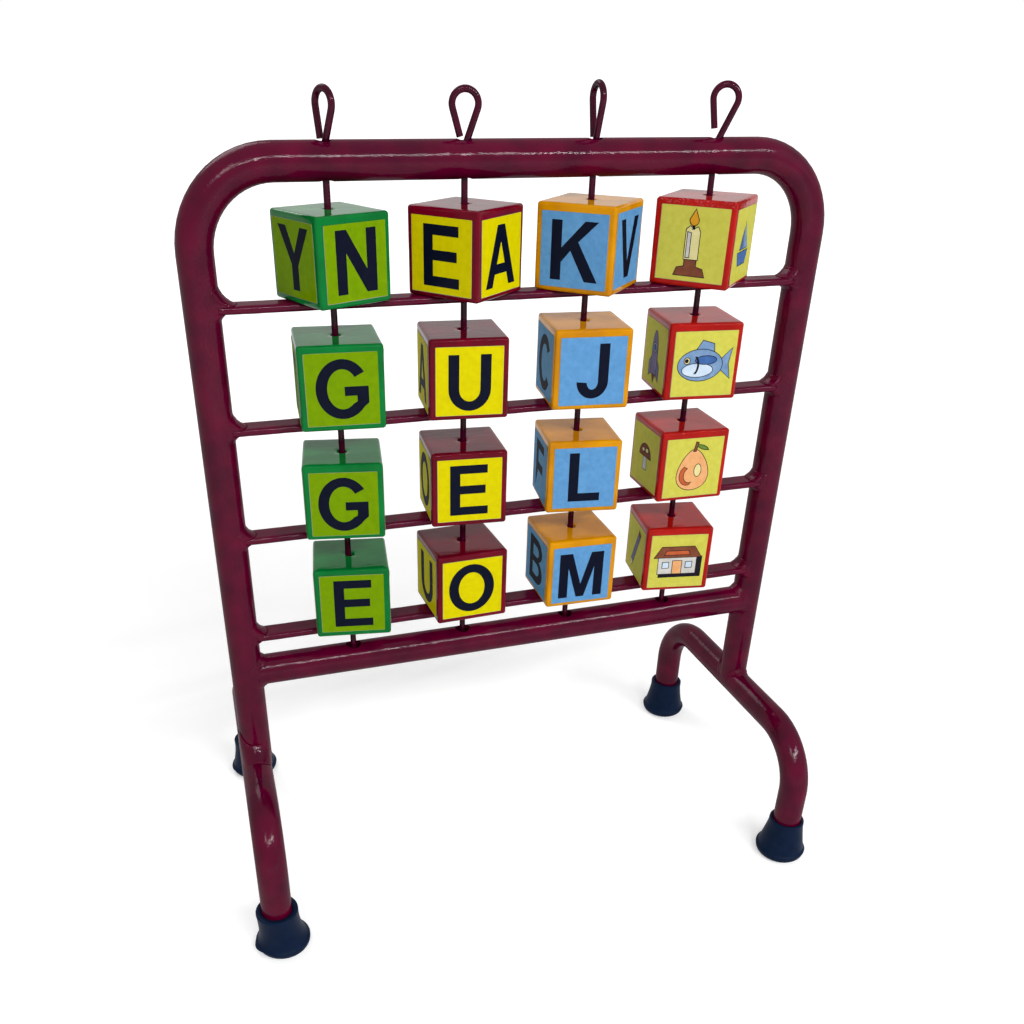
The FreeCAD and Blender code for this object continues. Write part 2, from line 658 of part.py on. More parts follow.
whole = Part.makeCompound([piece.Shape for piece in pieces]).BoundBox
print("%d pieces, %.1f x %.1f x %.1f mm" % (len(pieces), whole.XLength, whole.YLength, whole.ZLength))
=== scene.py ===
import math
import random
import bpy
import bmesh
from mathutils import Matrix, Vector, noise


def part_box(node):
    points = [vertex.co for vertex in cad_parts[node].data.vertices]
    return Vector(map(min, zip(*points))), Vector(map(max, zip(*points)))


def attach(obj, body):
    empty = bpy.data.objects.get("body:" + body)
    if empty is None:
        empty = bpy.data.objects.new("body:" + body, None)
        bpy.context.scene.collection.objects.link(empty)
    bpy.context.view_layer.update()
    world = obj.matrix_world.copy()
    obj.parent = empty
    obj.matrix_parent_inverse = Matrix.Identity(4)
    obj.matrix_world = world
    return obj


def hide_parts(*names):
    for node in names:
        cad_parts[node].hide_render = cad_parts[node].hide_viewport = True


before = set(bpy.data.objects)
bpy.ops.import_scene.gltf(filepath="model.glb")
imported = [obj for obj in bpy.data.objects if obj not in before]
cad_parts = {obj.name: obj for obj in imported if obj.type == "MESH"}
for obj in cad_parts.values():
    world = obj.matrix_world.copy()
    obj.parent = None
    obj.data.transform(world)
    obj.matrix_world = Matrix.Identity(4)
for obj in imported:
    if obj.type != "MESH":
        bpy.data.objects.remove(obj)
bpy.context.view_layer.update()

MM = 0.001

# The welded steel stand: bent tubes, a straight rail and four flat bars, all dipped and stoved in one
# thick maroon gloss enamel. The enamel pooled and sagged as it ran off, so highlights on it waver.


def linear(hex_colour):
    """An sRGB colour written as hex, in the linear values that a shader takes."""
    values = [int(hex_colour[place:place + 2], 16) / 255 for place in (0, 2, 4)]
    return [v / 12.92 if v <= 0.04045 else ((v + 0.055) / 1.055) ** 2.4 for v in values] + [1.0]


def add(tree, kind, inputs=None, **settings):
    """Adds one node: settings are its own, and inputs are numbers, colours or other nodes' outputs."""
    node = tree.nodes.new(kind)
    for name, value in settings.items():
        setattr(node, name, value)
    for socket, value in (inputs or {}).items():
        if isinstance(value, bpy.types.NodeSocket):
            tree.links.new(value, node.inputs[socket])
        else:
            node.inputs[socket].default_value = value
    return node


def new_material(name):
    """A material with an empty tree, and the object's own coordinates in it."""
    material = bpy.data.materials.new(name)
    material.use_nodes = True
    tree = material.node_tree
    tree.nodes.clear()
    return material, tree, add(tree, "ShaderNodeTexCoord").outputs["Object"]


def close(tree, surface):
    add(tree, "ShaderNodeOutputMaterial", {"Surface": surface.outputs[0]})


def per_metre(millimetres):
    """Scale of a noise whose features are that far apart."""
    return 1000 / millimetres


def stove_enamel(name, thick, thin, sag=16.0, peel=1.5, sag_depth=0.35, peel_depth=0.12):
    """Gloss enamel: a deep even colour, long shallow sags and a fine orange peel that breaks up glints."""
    material, tree, where = new_material(name)
    sags = add(tree, "ShaderNodeTexNoise", {"Vector": where, "Scale": per_metre(sag), "Detail": 1.0})
    pits = add(tree, "ShaderNodeTexNoise", {"Vector": where, "Scale": per_metre(peel)})
    cover = add(tree, "ShaderNodeMapRange", {"Value": sags.outputs["Fac"], "From Min": 0.3,
            "From Max": 0.75})
    colour = add(tree, "ShaderNodeMix", {"Factor": cover.outputs["Result"], "A": linear(thick),
            "B": linear(thin)}, data_type="RGBA")
    broad = add(tree, "ShaderNodeBump", {"Height": sags.outputs["Fac"], "Distance": sag_depth * MM})
    fine = add(tree, "ShaderNodeBump", {"Height": pits.outputs["Fac"], "Normal": broad.outputs[0],
            "Distance": peel_depth * MM})
    close(tree, add(tree, "ShaderNodeBsdfPrincipled", {
        "Base Color": colour.outputs["Result"], "Normal": fine.outputs[0], "Specular IOR Level": 0.0,
        "Coat Weight": STEEL_GLOSS, "Coat Roughness": 0.1, "Coat Normal": fine.outputs[0]}))
    return material


STEEL_GLOSS = 0.24
maroon_enamel = stove_enamel("maroon_stove_enamel_on_steel", "42001d", "560024")
STAND_NODES = ("main_frame", "left_foot", "right_foot", "bottom_rail", "crossbar_1", "crossbar_2",
               "crossbar_3", "crossbar_4")


def finish_node(node, material):
    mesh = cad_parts[node].data
    mesh.materials.clear()
    mesh.materials.append(material)


for node in STAND_NODES:
    finish_node(node, maroon_enamel)

# Hand-laid fillet welds at every joint of the stand, left undressed and drowned in the same enamel:
# low melted lumps in a hollow fillet that runs out smoothly onto both of the parts that it joins.
TUBE = 10.65 * MM
LEFT_FOOT_TURN = math.radians(-1.75)
LEFT_FOOT_SHIFT = 1.3 * MM
WELD_STEPS = 9
WELD_ROOT = 1.2 * MM
LUMP = 2.4 * MM
FINE_LUMP = 0.45
CROWN = 0.3
RUN_OUT = 0.12
# By hand: -1 is on the left and 1 on the right. The bars' fillets are listed from the top row down.
LUMP_HEIGHTS = {-1: 0.35, 1: 0.5}
BAR_WELD_SIZES = {-1: (1.5, 1.25, 1.0, 1.1), 1: (1.0, 0.9, 0.9, 0.9)}


def weld_round(shell, section, start, along, main, legs, seed, lump_height, fill=0.4):
    """One weld round the end of a part that meets a tube at start.

    section holds the part's outline as offsets from its axis and outward normals, along points away
    from the tube, main is the tube's axis, and legs gives the weld's reach on the part and the tube.
    A weld with more fill is less hollow."""
    side = along.cross(main).normalized()
    rings = []
    for offset, outward in section:
        lateral = max(-TUBE, min(TUBE, offset.dot(side)))
        seam = start + offset + along * math.sqrt(TUBE ** 2 - lateral ** 2)
        across = (seam - start).dot(side) * side
        wall = (across + along * (seam - start).dot(along)).normalized()
        reach_part, reach_tube = legs(outward)
        slide = outward - along * 0.35
        slide = (slide - wall * slide.dot(wall)).normalized()
        on_tube = seam + slide * reach_tube
        from_axis = on_tube - start - main * (on_tube - start).dot(main)
        on_tube += from_axis.normalized() * (TUBE - from_axis.length)
        on_part = seam + along * reach_part
        proud = (outward + wall).normalized()
        hollow = (on_part + on_tube) * fill / 2 + seam * (1 - fill)
        ring = []
        for step in range(WELD_STEPS + 1):
            share = step / WELD_STEPS
            swell = 4 * share * (1 - share)
            point = on_part * (1 - share) ** 2 + hollow * 2 * share * (1 - share) + on_tube * share ** 2
            lumps = noise.noise(point / LUMP + seed) + 0.5 * noise.noise(point / (LUMP * FINE_LUMP) + seed)
            point += proud * (swell * (CROWN + lump_height * lumps) - RUN_OUT) * MM
            ring.append(shell.verts.new(point))
        ring.append(shell.verts.new(seam - proud * WELD_ROOT))
        rings.append(ring)
    for first, second in zip(rings, rings[1:] + rings[:1]):
        bridge(shell, first, second)


def new_piece(name, shell, materials, smooth=True):
    """Turns a bmesh into a piece with its finishes."""
    bmesh.ops.recalc_face_normals(shell, faces=shell.faces)
    mesh = bpy.data.meshes.new(name)
    shell.to_mesh(mesh)
    shell.free()
    for material in materials:
        mesh.materials.append(material)
    if smooth:
        mesh.shade_smooth()
    piece = bpy.data.objects.new(name, mesh)
    bpy.context.scene.collection.objects.link(piece)
    return piece


def bridge(shell, first, second, material=0):
    """Faces between two rings of the same number of points."""
    count = len(first)
    for place in range(count):
        after = (place + 1) % count
        face = shell.faces.new((first[place], first[after], second[after], second[place]))
        face.material_index = material


def tube_section(along, main, steps=72):
    side = along.cross(main).normalized()
    section = []
    for step in range(steps):
        angle = 2 * math.pi * step / steps
        outward = main * math.cos(angle) + side * math.sin(angle)
        section.append((outward * TUBE, outward))
    return section


def bar_section(wide, thick, steps=16, edge=1.0 * MM):
    """Outline of a flat bar that runs along X, its top at no height."""
    section = []
    for corner, (y, z) in enumerate(((1, 1), (-1, 1), (-1, -1), (1, -1))):
        middle = Vector((0, y * (wide / 2 - edge), -thick / 2 + z * (thick / 2 - edge)))
        for step in range(4):
            angle = math.radians(90 * corner + 30 * step)
            outward = Vector((0, math.cos(angle), math.sin(angle)))
            section.append((middle + outward * edge, outward))
        if corner % 2 == 0:
            for step in range(1, steps):
                place, outward = section[-step]
                section.append((place + Vector((0, -y * (wide - 2 * edge) / steps * step, 0)), outward))
    return section


FILLET_RUN, FILLET_RISE, FILLET_UNDER, FILLET_BESIDE = 6.5, 7.0, 4.0, 2.0


def bar_legs(times):
    """Reach on the bar and up or down the upright: tall above the bar, low under it and beside it."""
    def legs(outward):
        above, below, beside = max(0.0, outward.z), max(0.0, -outward.z), abs(outward.y)
        return tuple((leg * above * times + FILLET_UNDER * below + FILLET_BESIDE * beside) * MM
                     for leg in (FILLET_RUN, FILLET_RISE))
    return legs


def weld_piece(name, node, shell):
    piece = new_piece(name, shell, [maroon_enamel])
    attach(piece, "stand")
    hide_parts(node)


frame_low, frame_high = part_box("main_frame")
UPRIGHTS = {-1: frame_low.x + TUBE, 1: frame_high.x - TUBE}
FRAME_Y = (frame_low.y + frame_high.y) / 2
X, Z = Vector((1, 0, 0)), Vector((0, 0, 1))

shell = bmesh.new()
for row in range(1, 5):
    low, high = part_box("crossbar_%d" % row)
    for hand in (-1, 1):
        weld_round(shell, bar_section(high.y - low.y, high.z - low.z),
                   Vector((UPRIGHTS[hand], FRAME_Y, high.z)), X * -hand, Z,
                   bar_legs(BAR_WELD_SIZES[hand][row - 1]),
                   Vector((row * 3.1, hand * 5.0, 1.0)), LUMP_HEIGHTS[hand])
weld_piece("crossbar_weld_beads", "crossbar_welds", shell)

shell = bmesh.new()
low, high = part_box("bottom_rail")
for hand in (-1, 1):
    weld_round(shell, tube_section(X * -hand, Z), Vector((UPRIGHTS[hand], FRAME_Y, (low.z + high.z) / 2)),
               X * -hand, Z, lambda outward: (4.2 * MM, 3.6 * MM), Vector((7.0, hand * 4.0, 2.0)),
               LUMP_HEIGHTS[hand])
weld_piece("rail_weld_beads", "rail_end_welds", shell)

# The left foot's joint was filled up and smoothed, high up on the upright's sides, and the right one
# was left lumpy.
foot_legs = {-1: lambda outward: ((3.0 + 7.5 * abs(outward.y) + 22.0 * abs(outward.x) ** 3) * MM,
                                  (1.5 + 9.0 * abs(outward.y)) * MM),
             1: lambda outward: (4.6 * MM, 4.4 * MM)}
shell = bmesh.new()
for hand, node, shift, turn in ((-1, "left_foot", -LEFT_FOOT_SHIFT, LEFT_FOOT_TURN), (1, "right_foot", 0, 0)):
    axis = Vector((-math.sin(turn), math.cos(turn), 0))
    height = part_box(node)[1].z - TUBE
    weld_round(shell, tube_section(Z, axis), Vector((UPRIGHTS[hand] + shift * 0.5, FRAME_Y, height)),
               Z, axis, foot_legs[hand], Vector((9.0, hand * 6.0, 3.0)), LUMP_HEIGHTS[hand],
               0.75 if hand == -1 else 0.4)
weld_piece("foot_weld_beads", "foot_joint_welds", shell)

# Four flat bars of rolled steel, drilled for the rods. The enamel runs thick over their long edges, so
# these are rounder than the bare steel's and carry a bright line, and their faces are a little wavy.
BAR_HOLE = 3.35 * MM
DRILL_LENGTH = 20 * MM
ENAMELLED_EDGE = 2.0 * MM
WAVE_ALONG, WAVE_ACROSS, WAVE_DEPTH = 9 * MM, 5 * MM, 0.1 * MM
BAR_STEPS = 120


def enamelled_bar(row):
    low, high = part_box("crossbar_%d" % row)
    shell = bmesh.new()
    rings = []
    for step in range(BAR_STEPS + 1):
        x = low.x + (high.x - low.x) * step / BAR_STEPS
        ring = []
        for offset, outward in bar_section(high.y - low.y, high.z - low.z, 8, ENAMELLED_EDGE):
            point = Vector((x, FRAME_Y, high.z)) + offset
            wave = noise.noise(Vector((point.x / WAVE_ALONG, point.y / WAVE_ACROSS, row * 4.0)))
            ring.append(shell.verts.new(point + outward * WAVE_DEPTH * (wave - 1.0)))
        rings.append(ring)
    for first, second in zip(rings, rings[1:]):
        bridge(shell, first, second)
    shell.faces.new(rings[0])
    shell.faces.new(reversed(rings[-1]))
    bar = new_piece("enamelled_crossbar_%d" % row, shell, [maroon_enamel])
    shell = bmesh.new()
    for column in range(1, 5):
        low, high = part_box("cube_r%d_c%d" % (row, column))
        middle = Vector(((low.x + high.x) / 2, FRAME_Y, low.z - 2 * MM))
        bmesh.ops.create_cone(shell, cap_ends=True, segments=40, radius1=BAR_HOLE, radius2=BAR_HOLE,
                              depth=DRILL_LENGTH, matrix=Matrix.Translation(middle))
    drills = new_piece("drills", shell, [maroon_enamel])
    holes = bar.modifiers.new("holes", "BOOLEAN")
    holes.object = drills
    holes.solver = "EXACT"
    bare = bar.data
    bar.data = bpy.data.meshes.new_from_object(bar.evaluated_get(bpy.context.evaluated_depsgraph_get()))
    bar.modifiers.clear()
    bar.data.name = bar.name
    bpy.data.objects.remove(drills)
    bpy.data.meshes.remove(bare)
    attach(bar, "stand")
    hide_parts("crossbar_%d" % row)


for row in range(1, 5):
    enamelled_bar(row)

# Four rubber ferrules, pressure moulded and pushed onto the legs. The mould met at the flange, which
# leaves a fine line all round, and the mouth of each collar has stretched a little over its tube.
RUBBER_TURNS = 72
RUBBER_FLOOR = 4 * MM
HEEL = 5 * MM
MOUTH_LIP = 0.35 * MM
MOULD_LINE = 0.25 * MM
FLASH_ANGLE = math.radians(196)


def moulded_rubber(name):
    """Dull navy-black rubber, faintly mottled by its mould and dusty where it meets the floor."""
    material, tree, where = new_material(name)
    height = add(tree, "ShaderNodeSeparateXYZ", {"Vector": where}).outputs["Z"]
    mottle = add(tree, "ShaderNodeTexNoise", {"Vector": where, "Scale": per_metre(6.0), "Detail": 3.0})
    skin = add(tree, "ShaderNodeTexNoise", {"Vector": where, "Scale": per_metre(0.9)})
    body = add(tree, "ShaderNodeMix", {"Factor": mottle.outputs["Fac"], "A": linear("08142a"),
            "B": linear("102038")}, data_type="RGBA")
    dusty = add(tree, "ShaderNodeMapRange", {"Value": height, "From Min": 4 * MM, "From Max": 0.0,
            "To Max": 0.3})
    colour = add(tree, "ShaderNodeMix", {"Factor": dusty.outputs["Result"], "A": body.outputs["Result"],
            "B": linear("2a303c")}, data_type="RGBA")
    bump = add(tree, "ShaderNodeBump", {"Height": skin.outputs["Fac"], "Distance": 0.08 * MM,
            "Strength": 0.6})
    close(tree, add(tree, "ShaderNodeBsdfPrincipled", {
        "Base Color": colour.outputs["Result"], "Normal": bump.outputs[0], "Roughness": 0.45,
        "Specular IOR Level": 0.04}))
    return material


rubber = moulded_rubber("navy_black_moulded_rubber")


def ferrule(node, name, creep, wall, flare, flash):
    """A turned outline: creep shifts the base under the collar, wall is the rubber at the mouth.

    The higher flare is, the sharper the collar turns out into the flange, and flash is what the mould
    squeezed out of its seam on the left."""
    low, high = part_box(node)
    middle = Vector(((low.x + high.x) / 2, (low.y + high.y) / 2, low.z))
    flange = (high.x - low.x) / 2
    tall = high.z - low.z
    mouth = TUBE + wall * MM
    outline = [(0.0, 0.0), (flange * 0.35, 0.0), (flange * 0.6, 0.0)]
    for step in range(8):
        angle = math.radians(-90 + 90 * step / 7)
        outline.append((flange - HEEL + HEEL * math.cos(angle), HEEL + HEEL * math.sin(angle)))
    outline += [(flange, 5.4 * MM), (flange + MOULD_LINE, 5.6 * MM), (flange + MOULD_LINE, 5.9 * MM),
                (flange - 0.1 * MM, 6.4 * MM), (flange - 0.5 * MM, 7.0 * MM), (flange - 1.1 * MM, 7.3 * MM)]
    skirt = flange - 1.3 * MM
    for share in (0.0, 0.06, 0.13, 0.2, 0.3, 0.42, 0.56, 0.7, 0.85):
        outline.append((mouth + (skirt - mouth) * (1 - share) ** flare, 7.6 * MM + (tall - 9.6 * MM) * share))
    outline += [(mouth + MOUTH_LIP * 0.6, tall - 1.4 * MM), (mouth + MOUTH_LIP * 0.5, tall - 0.6 * MM),
                (mouth - 0.3 * MM, tall - 0.12 * MM), (mouth - 1.0 * MM, tall),
                (TUBE + 0.5 * MM, tall - 0.1 * MM), (TUBE + 0.15 * MM, tall - 0.7 * MM),
                (TUBE + 0.05 * MM, tall - 3 * MM), (TUBE, RUBBER_FLOOR), (0.0, RUBBER_FLOOR)]
    shell = bmesh.new()
    rings = []
    for radius, up in outline:
        share = min(1.0, up / tall)
        outside = radius > TUBE + 0.6 * MM or up < 1 * MM
        drift = Vector(creep).to_3d() * MM * (1 - share) ** 1.5 if outside else Vector()
        if radius == 0.0:
            rings.append([shell.verts.new(middle + Vector((0, 0, up)))])
            continue
        ring = []
        for turn in range(RUBBER_TURNS):
            angle = 2 * math.pi * turn / RUBBER_TURNS
            out = radius
            if flange < radius:
                out += flash * MM * max(0.0, math.cos(angle - FLASH_ANGLE)) ** 24
            sag = 0.25 * MM * math.sin(2 * angle + flash * 3) * max(0.0, (up - 25 * MM) / (8 * MM))
            ring.append(shell.verts.new(middle + drift + Vector((
                out * math.cos(angle), out * math.sin(angle), min(up + sag, tall)))))
        rings.append(ring)
    for first, second in zip(rings, rings[1:]):
        if len(first) == 1 or len(second) == 1:
            tip, ring = (first[0], second) if len(first) == 1 else (second[0], first)
            for turn in range(RUBBER_TURNS):
                shell.faces.new((tip, ring[turn], ring[(turn + 1) % RUBBER_TURNS]))
        else:
            bridge(shell, first, second)
    piece = new_piece(name, shell, [rubber])
    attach(piece, "stand")
    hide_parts(node)


# Creep to the right and back, wall, flare and flash: millimetres, apart from flare.
FERRULES = {"front_left": ((3.0, -0.4), 3.9, 4.0, 1.6), "front_right": ((-1.6, 0.0), 2.4, 1.25, 0.0),
            "rear_left": ((0.6, 0.4), 3.4, 1.8, 0.6), "rear_right": ((-0.5, 0.3), 3.1, 1.6, 0.2)}
for leg, moulding in FERRULES.items():
    ferrule("ferrule_" + leg, "rubber_ferrule_" + leg, *moulding)

# Four rods of steel wire with their loops bent over a peg. They had the same enamel as the stand,
# in a thinner coat that the cubes have rubbed smooth.
wire_enamel = stove_enamel("maroon_enamel_on_wire", "320017", "440020", sag=9.0, peel=1.6,
                           sag_depth=0.15, peel_depth=0.05)
for column in range(1, 5):
    finish_node("rod_%d" % column, wire_enamel)

# Sixteen softwood cubes, bored along the grain for their rod and dipped in gloss enamel, one colour a
# column. The enamel rounds every edge, beads at the corners and draws back a little round the bore.
PAINTS = {1: ("green_enamel", "005f26", "00702e"), 2: ("crimson_enamel", "560014", "6a001a"),
          3: ("ochre_enamel", "b47400", "ca8800"), 4: ("red_enamel", "920f0a", "a8140e")}
GLOSS_HEAD_ON = 0.16
GLOSS_ALONG = 0.6
BORE = 3.25 * MM
EDGE = 1.9 * MM
# Above this height the top of the red column's top cube is painted pale: partly rubbed wear, partly a painted
# reflection of light on its top face.
SCUFF_AND_SHEEN_ABOVE = 472 * MM
SCUFF_AND_SHEEN_FADE = 5 * MM
LONG_WAVE, SHORT_WAVE = 15 * MM, 5 * MM
LONG_RISE, SHORT_RISE = 0.1, 0.06
# As measured in the photograph, in millimetres: how far each cube is over or under the drawing's size
# and off its rod to the right, rows from the top and columns from the left.
OVER_SIZE = ((-1.6, -0.6, 0.0, 0.8), (0.4, -0.6, 0.2, -0.4), (-0.6, -0.4, -0.5, -0.6),
             (-1.0, -0.2, 0.0, -1.1))
OFF_ROD = ((0.5, 1.1, 0.3, -0.6), (0.4, -1.1, 1.1, -0.1), (-0.3, -0.7, 1.0, -0.7),
           (1.1, -1.1, 0.9, 0.2))


def brushed_enamel(name, thick, thin, scuff_and_sheen):
    """Gloss enamel on softwood: the grain still telegraphs as long low waves under the gloss.

    The last argument is how pale the top of the column's top cube is made: partly rubbed wear, partly a
    painted pinkish reflection of light on that top face."""
    material, tree, where = new_material(name)
    pooled = add(tree, "ShaderNodeTexNoise", {"Vector": where, "Scale": per_metre(22.0)})
    along = add(tree, "ShaderNodeMapping", {"Vector": where, "Scale": (0.14, 1.0, 1.0)})
    grain = add(tree, "ShaderNodeTexNoise", {"Vector": along.outputs[0], "Scale": per_metre(3.2),
            "Detail": 3.0, "Distortion": 0.4})
    specks = add(tree, "ShaderNodeTexNoise", {"Vector": where, "Scale": per_metre(1.6), "Detail": 1.0})
    cover = add(tree, "ShaderNodeMapRange", {"Value": pooled.outputs["Fac"], "From Min": 0.34,
            "From Max": 0.66})
    colour = add(tree, "ShaderNodeMix", {"Factor": cover.outputs["Result"], "A": linear(thick),
            "B": linear(thin)}, data_type="RGBA")
    height = add(tree, "ShaderNodeSeparateXYZ", {"Vector": where}).outputs["Z"]
    # Wear and painted reflection: above that height the colour is mixed in streaks toward a pale pink,
    # standing for worn paint and for a painted sheen of light on the top.
    high = add(tree, "ShaderNodeMapRange", {"Value": height, "From Min": SCUFF_AND_SHEEN_ABOVE,
            "From Max": SCUFF_AND_SHEEN_ABOVE + SCUFF_AND_SHEEN_FADE, "To Max": scuff_and_sheen})
    streaks = add(tree, "ShaderNodeMapping", {"Vector": where, "Scale": (1.0, 0.35, 1.0)})
    rubbed = add(tree, "ShaderNodeTexNoise", {"Vector": streaks.outputs[0], "Scale": per_metre(1.0),
            "Detail": 3.0, "Roughness": 0.7})
    pale = add(tree, "ShaderNodeMapRange", {"Value": rubbed.outputs["Fac"], "From Min": 0.55,
            "From Max": 0.66, "To Max": high.outputs["Result"]})
    colour = add(tree, "ShaderNodeMix", {"Factor": pale.outputs["Result"], "A": colour.outputs["Result"],
            "B": linear("b08a94")}, data_type="RGBA")
    waves = add(tree, "ShaderNodeBump", {"Height": grain.outputs["Fac"], "Distance": 0.16 * MM,
            "Strength": 0.8})
    dust = add(tree, "ShaderNodeBump", {"Height": specks.outputs["Fac"], "Normal": waves.outputs[0],
            "Distance": 0.03 * MM, "Strength": 0.6})
    slant = add(tree, "ShaderNodeLayerWeight", {"Blend": 0.5}).outputs["Facing"]
    gloss = add(tree, "ShaderNodeMapRange", {"Value": slant, "From Min": 0.2, "From Max": 0.7,
            "To Min": GLOSS_HEAD_ON, "To Max": GLOSS_ALONG})
    close(tree, add(tree, "ShaderNodeBsdfPrincipled", {
        "Base Color": colour.outputs["Result"], "Normal": dust.outputs[0], "Specular IOR Level": 0.0,
        "Coat Weight": gloss.outputs["Result"], "Coat Roughness": 0.07, "Coat Normal": dust.outputs[0]}))
    return material


def square_ring(half, corner, height, side_points=10, corner_points=5):
    """Points round a square with rounded corners, which is a circle when corner equals half."""
    points = []
    straight = half - corner
    for quarter in range(4):
        swing = Matrix.Rotation(math.radians(90 * quarter), 3, "Z")
        for step in range(side_points):
            share = step / side_points
            points.append(swing @ Vector((-straight + 2 * straight * share, -half, height)))
        for step in range(corner_points):
            angle = math.radians(-90 + 90 * step / corner_points)
            points.append(swing @ Vector((straight + corner * math.cos(angle),
                                          -straight + corner * math.sin(angle), height)))
    return points


def cube_name(row, column):
    return "cube_r%d_c%d" % (row, column)


def standing(row, column):
    """Centre of a cube's foot, its size and its turn, read from the cube's largest front face."""
    node = cube_name(row, column)
    low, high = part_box(node)
    fronts = [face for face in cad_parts[node].data.polygons
              if face.normal.y < 0 and abs(face.normal.x) <= abs(face.normal.y)
              and abs(face.normal.z) < 0.01]
    normal = max(fronts, key=lambda face: face.area).normal
    foot = Vector(((low.x + high.x) / 2, (low.y + high.y) / 2, low.z))
    foot.x += OFF_ROD[row - 1][column - 1] * MM
    return foot, high.z - low.z + OVER_SIZE[row - 1][column - 1] * MM, math.atan2(normal.x, -normal.y)


def cube_rings(size):
    """Half width, corner radius and height of each ring, from the bore's foot round to its mouth."""
    half = size / 2
    lip = 0.7 * MM
    wall = [(BORE, BORE, size * share) for share in (0.75, 0.5, 0.25)]
    mouth = [(BORE, BORE, lip), (BORE + 0.2 * lip, BORE + 0.2 * lip, 0.3 * lip),
             (BORE + lip, BORE + lip, 0.0)]
    flat = []
    for share in (0.12, 0.3, 0.5, 0.7, 0.88):
        reach = BORE + lip + (half - EDGE - BORE - lip) * share
        flat.append((reach, (BORE + lip) * (1 - share), 0.0))
    fillet = []
    for step in range(6):
        angle = math.radians(90 * step / 5)
        fillet.append((half - EDGE + EDGE * math.sin(angle), max(EDGE * math.sin(angle), 0.02 * MM),
                       EDGE - EDGE * math.cos(angle)))
    under = mouth + flat + fillet
    over = [(half_width, corner, size - height) for half_width, corner, height in reversed(under)]
    sides = [(half, EDGE, EDGE + (size - 2 * EDGE) * step / 10) for step in range(1, 10)]
    return under + sides + over + wall


def place_on_rod(foot, turn):
    return Matrix.Translation(foot) @ Matrix.Rotation(turn, 4, "Z")


def wooden_cube(row, column, material):
    node = cube_name(row, column)
    foot, size, turn = standing(row, column)
    stand = place_on_rod(foot, turn)
    shell = bmesh.new()
    seed = Vector((row * 11.3, column * 7.1, 0.0))
    middle = Vector((0, 0, size / 2))
    rings = []
    for half, corner, height in cube_rings(size):
        ring = []
        for point in square_ring(half, corner, height):
            outward = (point - middle).normalized()
            near_edge = min(1.0, max(abs(point.x), abs(point.y)) / (size / 2))
            top = point.z > size - 0.1 * MM or point.z < 0.1 * MM
            depth = LONG_RISE * noise.noise(point / LONG_WAVE + seed)
            depth += SHORT_RISE * noise.noise(point / SHORT_WAVE + seed)
            if top:
                point.z += depth * MM * (1 if point.z > size / 2 else -0.3)
            elif near_edge > 0.9:
                point += outward * (depth - 0.05) * MM
            ring.append(shell.verts.new(stand @ point))
        rings.append(ring)
    for first, second in zip(rings, rings[1:] + rings[:1]):
        bridge(shell, first, second)
    piece = new_piece("wooden_" + node, shell, [material])
    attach(piece, node)
    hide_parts(node)


for column, (slot, thick, thin) in PAINTS.items():
    # Only the red column's top cube gets the pale top, which is partly wear and partly painted reflection.
    paint = brushed_enamel("gloss_" + slot + "_on_softwood", thick, thin, 0.4 if column == 4 else 0.0)
    for row in range(1, 5):
        wooden_cube(row, column, paint)

# Sixty-four square stickers, guillotined from printed card under a clear film and glued on by hand,
# so each is a little off square. The cut edge and a hair of unprinted border are bare, grubby card.
CARDS = {1: ("lime_sticker", "638600", "6e9000"), 2: ("yellow_sticker", "c2b600", "cdc200"),
         3: ("blue_sticker", "5084b4", "5c92c2"), 4: ("pale_yellow_sticker", "b7b346", "c3bf50")}
CARD_MARGIN = 3.75 * MM
CARD_THICKNESS = 0.22 * MM
BARE_BORDER = 0.16 * MM
CARD_CURL = 0.25 * MM
CURL_REACH = 6 * MM
FILM_GLOSS = 0.08


def printed_card(name, dark, light):
    """Printed colour under film: even from afar, cloudy close up, with a fine paper tooth."""
    material, tree, where = new_material(name)
    clouds = add(tree, "ShaderNodeTexNoise", {"Vector": where, "Scale": per_metre(4.0), "Detail": 4.0,
            "Roughness": 0.6})
    tooth = add(tree, "ShaderNodeTexNoise", {"Vector": where, "Scale": per_metre(0.6)})
    spread = add(tree, "ShaderNodeMapRange", {"Value": clouds.outputs["Fac"], "From Min": 0.3,
            "From Max": 0.7})
    colour = add(tree, "ShaderNodeMix", {"Factor": spread.outputs["Result"], "A": linear(dark),
            "B": linear(light)}, data_type="RGBA")
    bump = add(tree, "ShaderNodeBump", {"Height": tooth.outputs["Fac"], "Distance": 0.02 * MM,
            "Strength": 0.5})
    close(tree, add(tree, "ShaderNodeBsdfPrincipled", {
        "Base Color": colour.outputs["Result"], "Normal": bump.outputs[0], "Roughness": 0.6,
        "Specular IOR Level": 0.0, "Coat Weight": FILM_GLOSS, "Coat Roughness": 0.2,
        "Coat Normal": bump.outputs[0]}))
    return material


def cut_card(name):
    """The bare card at a cut edge: once white, now dull and grubby."""
    material, tree, where = new_material(name)
    grime = add(tree, "ShaderNodeTexNoise", {"Vector": where, "Scale": per_metre(7.0), "Detail": 3.0})
    colour = add(tree, "ShaderNodeMix", {"Factor": grime.outputs["Fac"], "A": linear("6c6c54"),
            "B": linear("96947a")}, data_type="RGBA")
    close(tree, add(tree, "ShaderNodeBsdfPrincipled", {"Base Color": colour.outputs["Result"],
                                                       "Roughness": 0.7}))
    return material


def face_place(row, column, side):
    """Matrix that lays a drawing on one side of a cube: x across, y up and z outwards."""
    foot, size, turn = standing(row, column)
    upright = Matrix.Rotation(math.radians(90), 4, "X")
    out = Matrix.Translation((0, -size / 2, size / 2)) @ upright
    return place_on_rod(foot, turn) @ Matrix.Rotation(math.radians(90 * side), 4, "Z") @ out


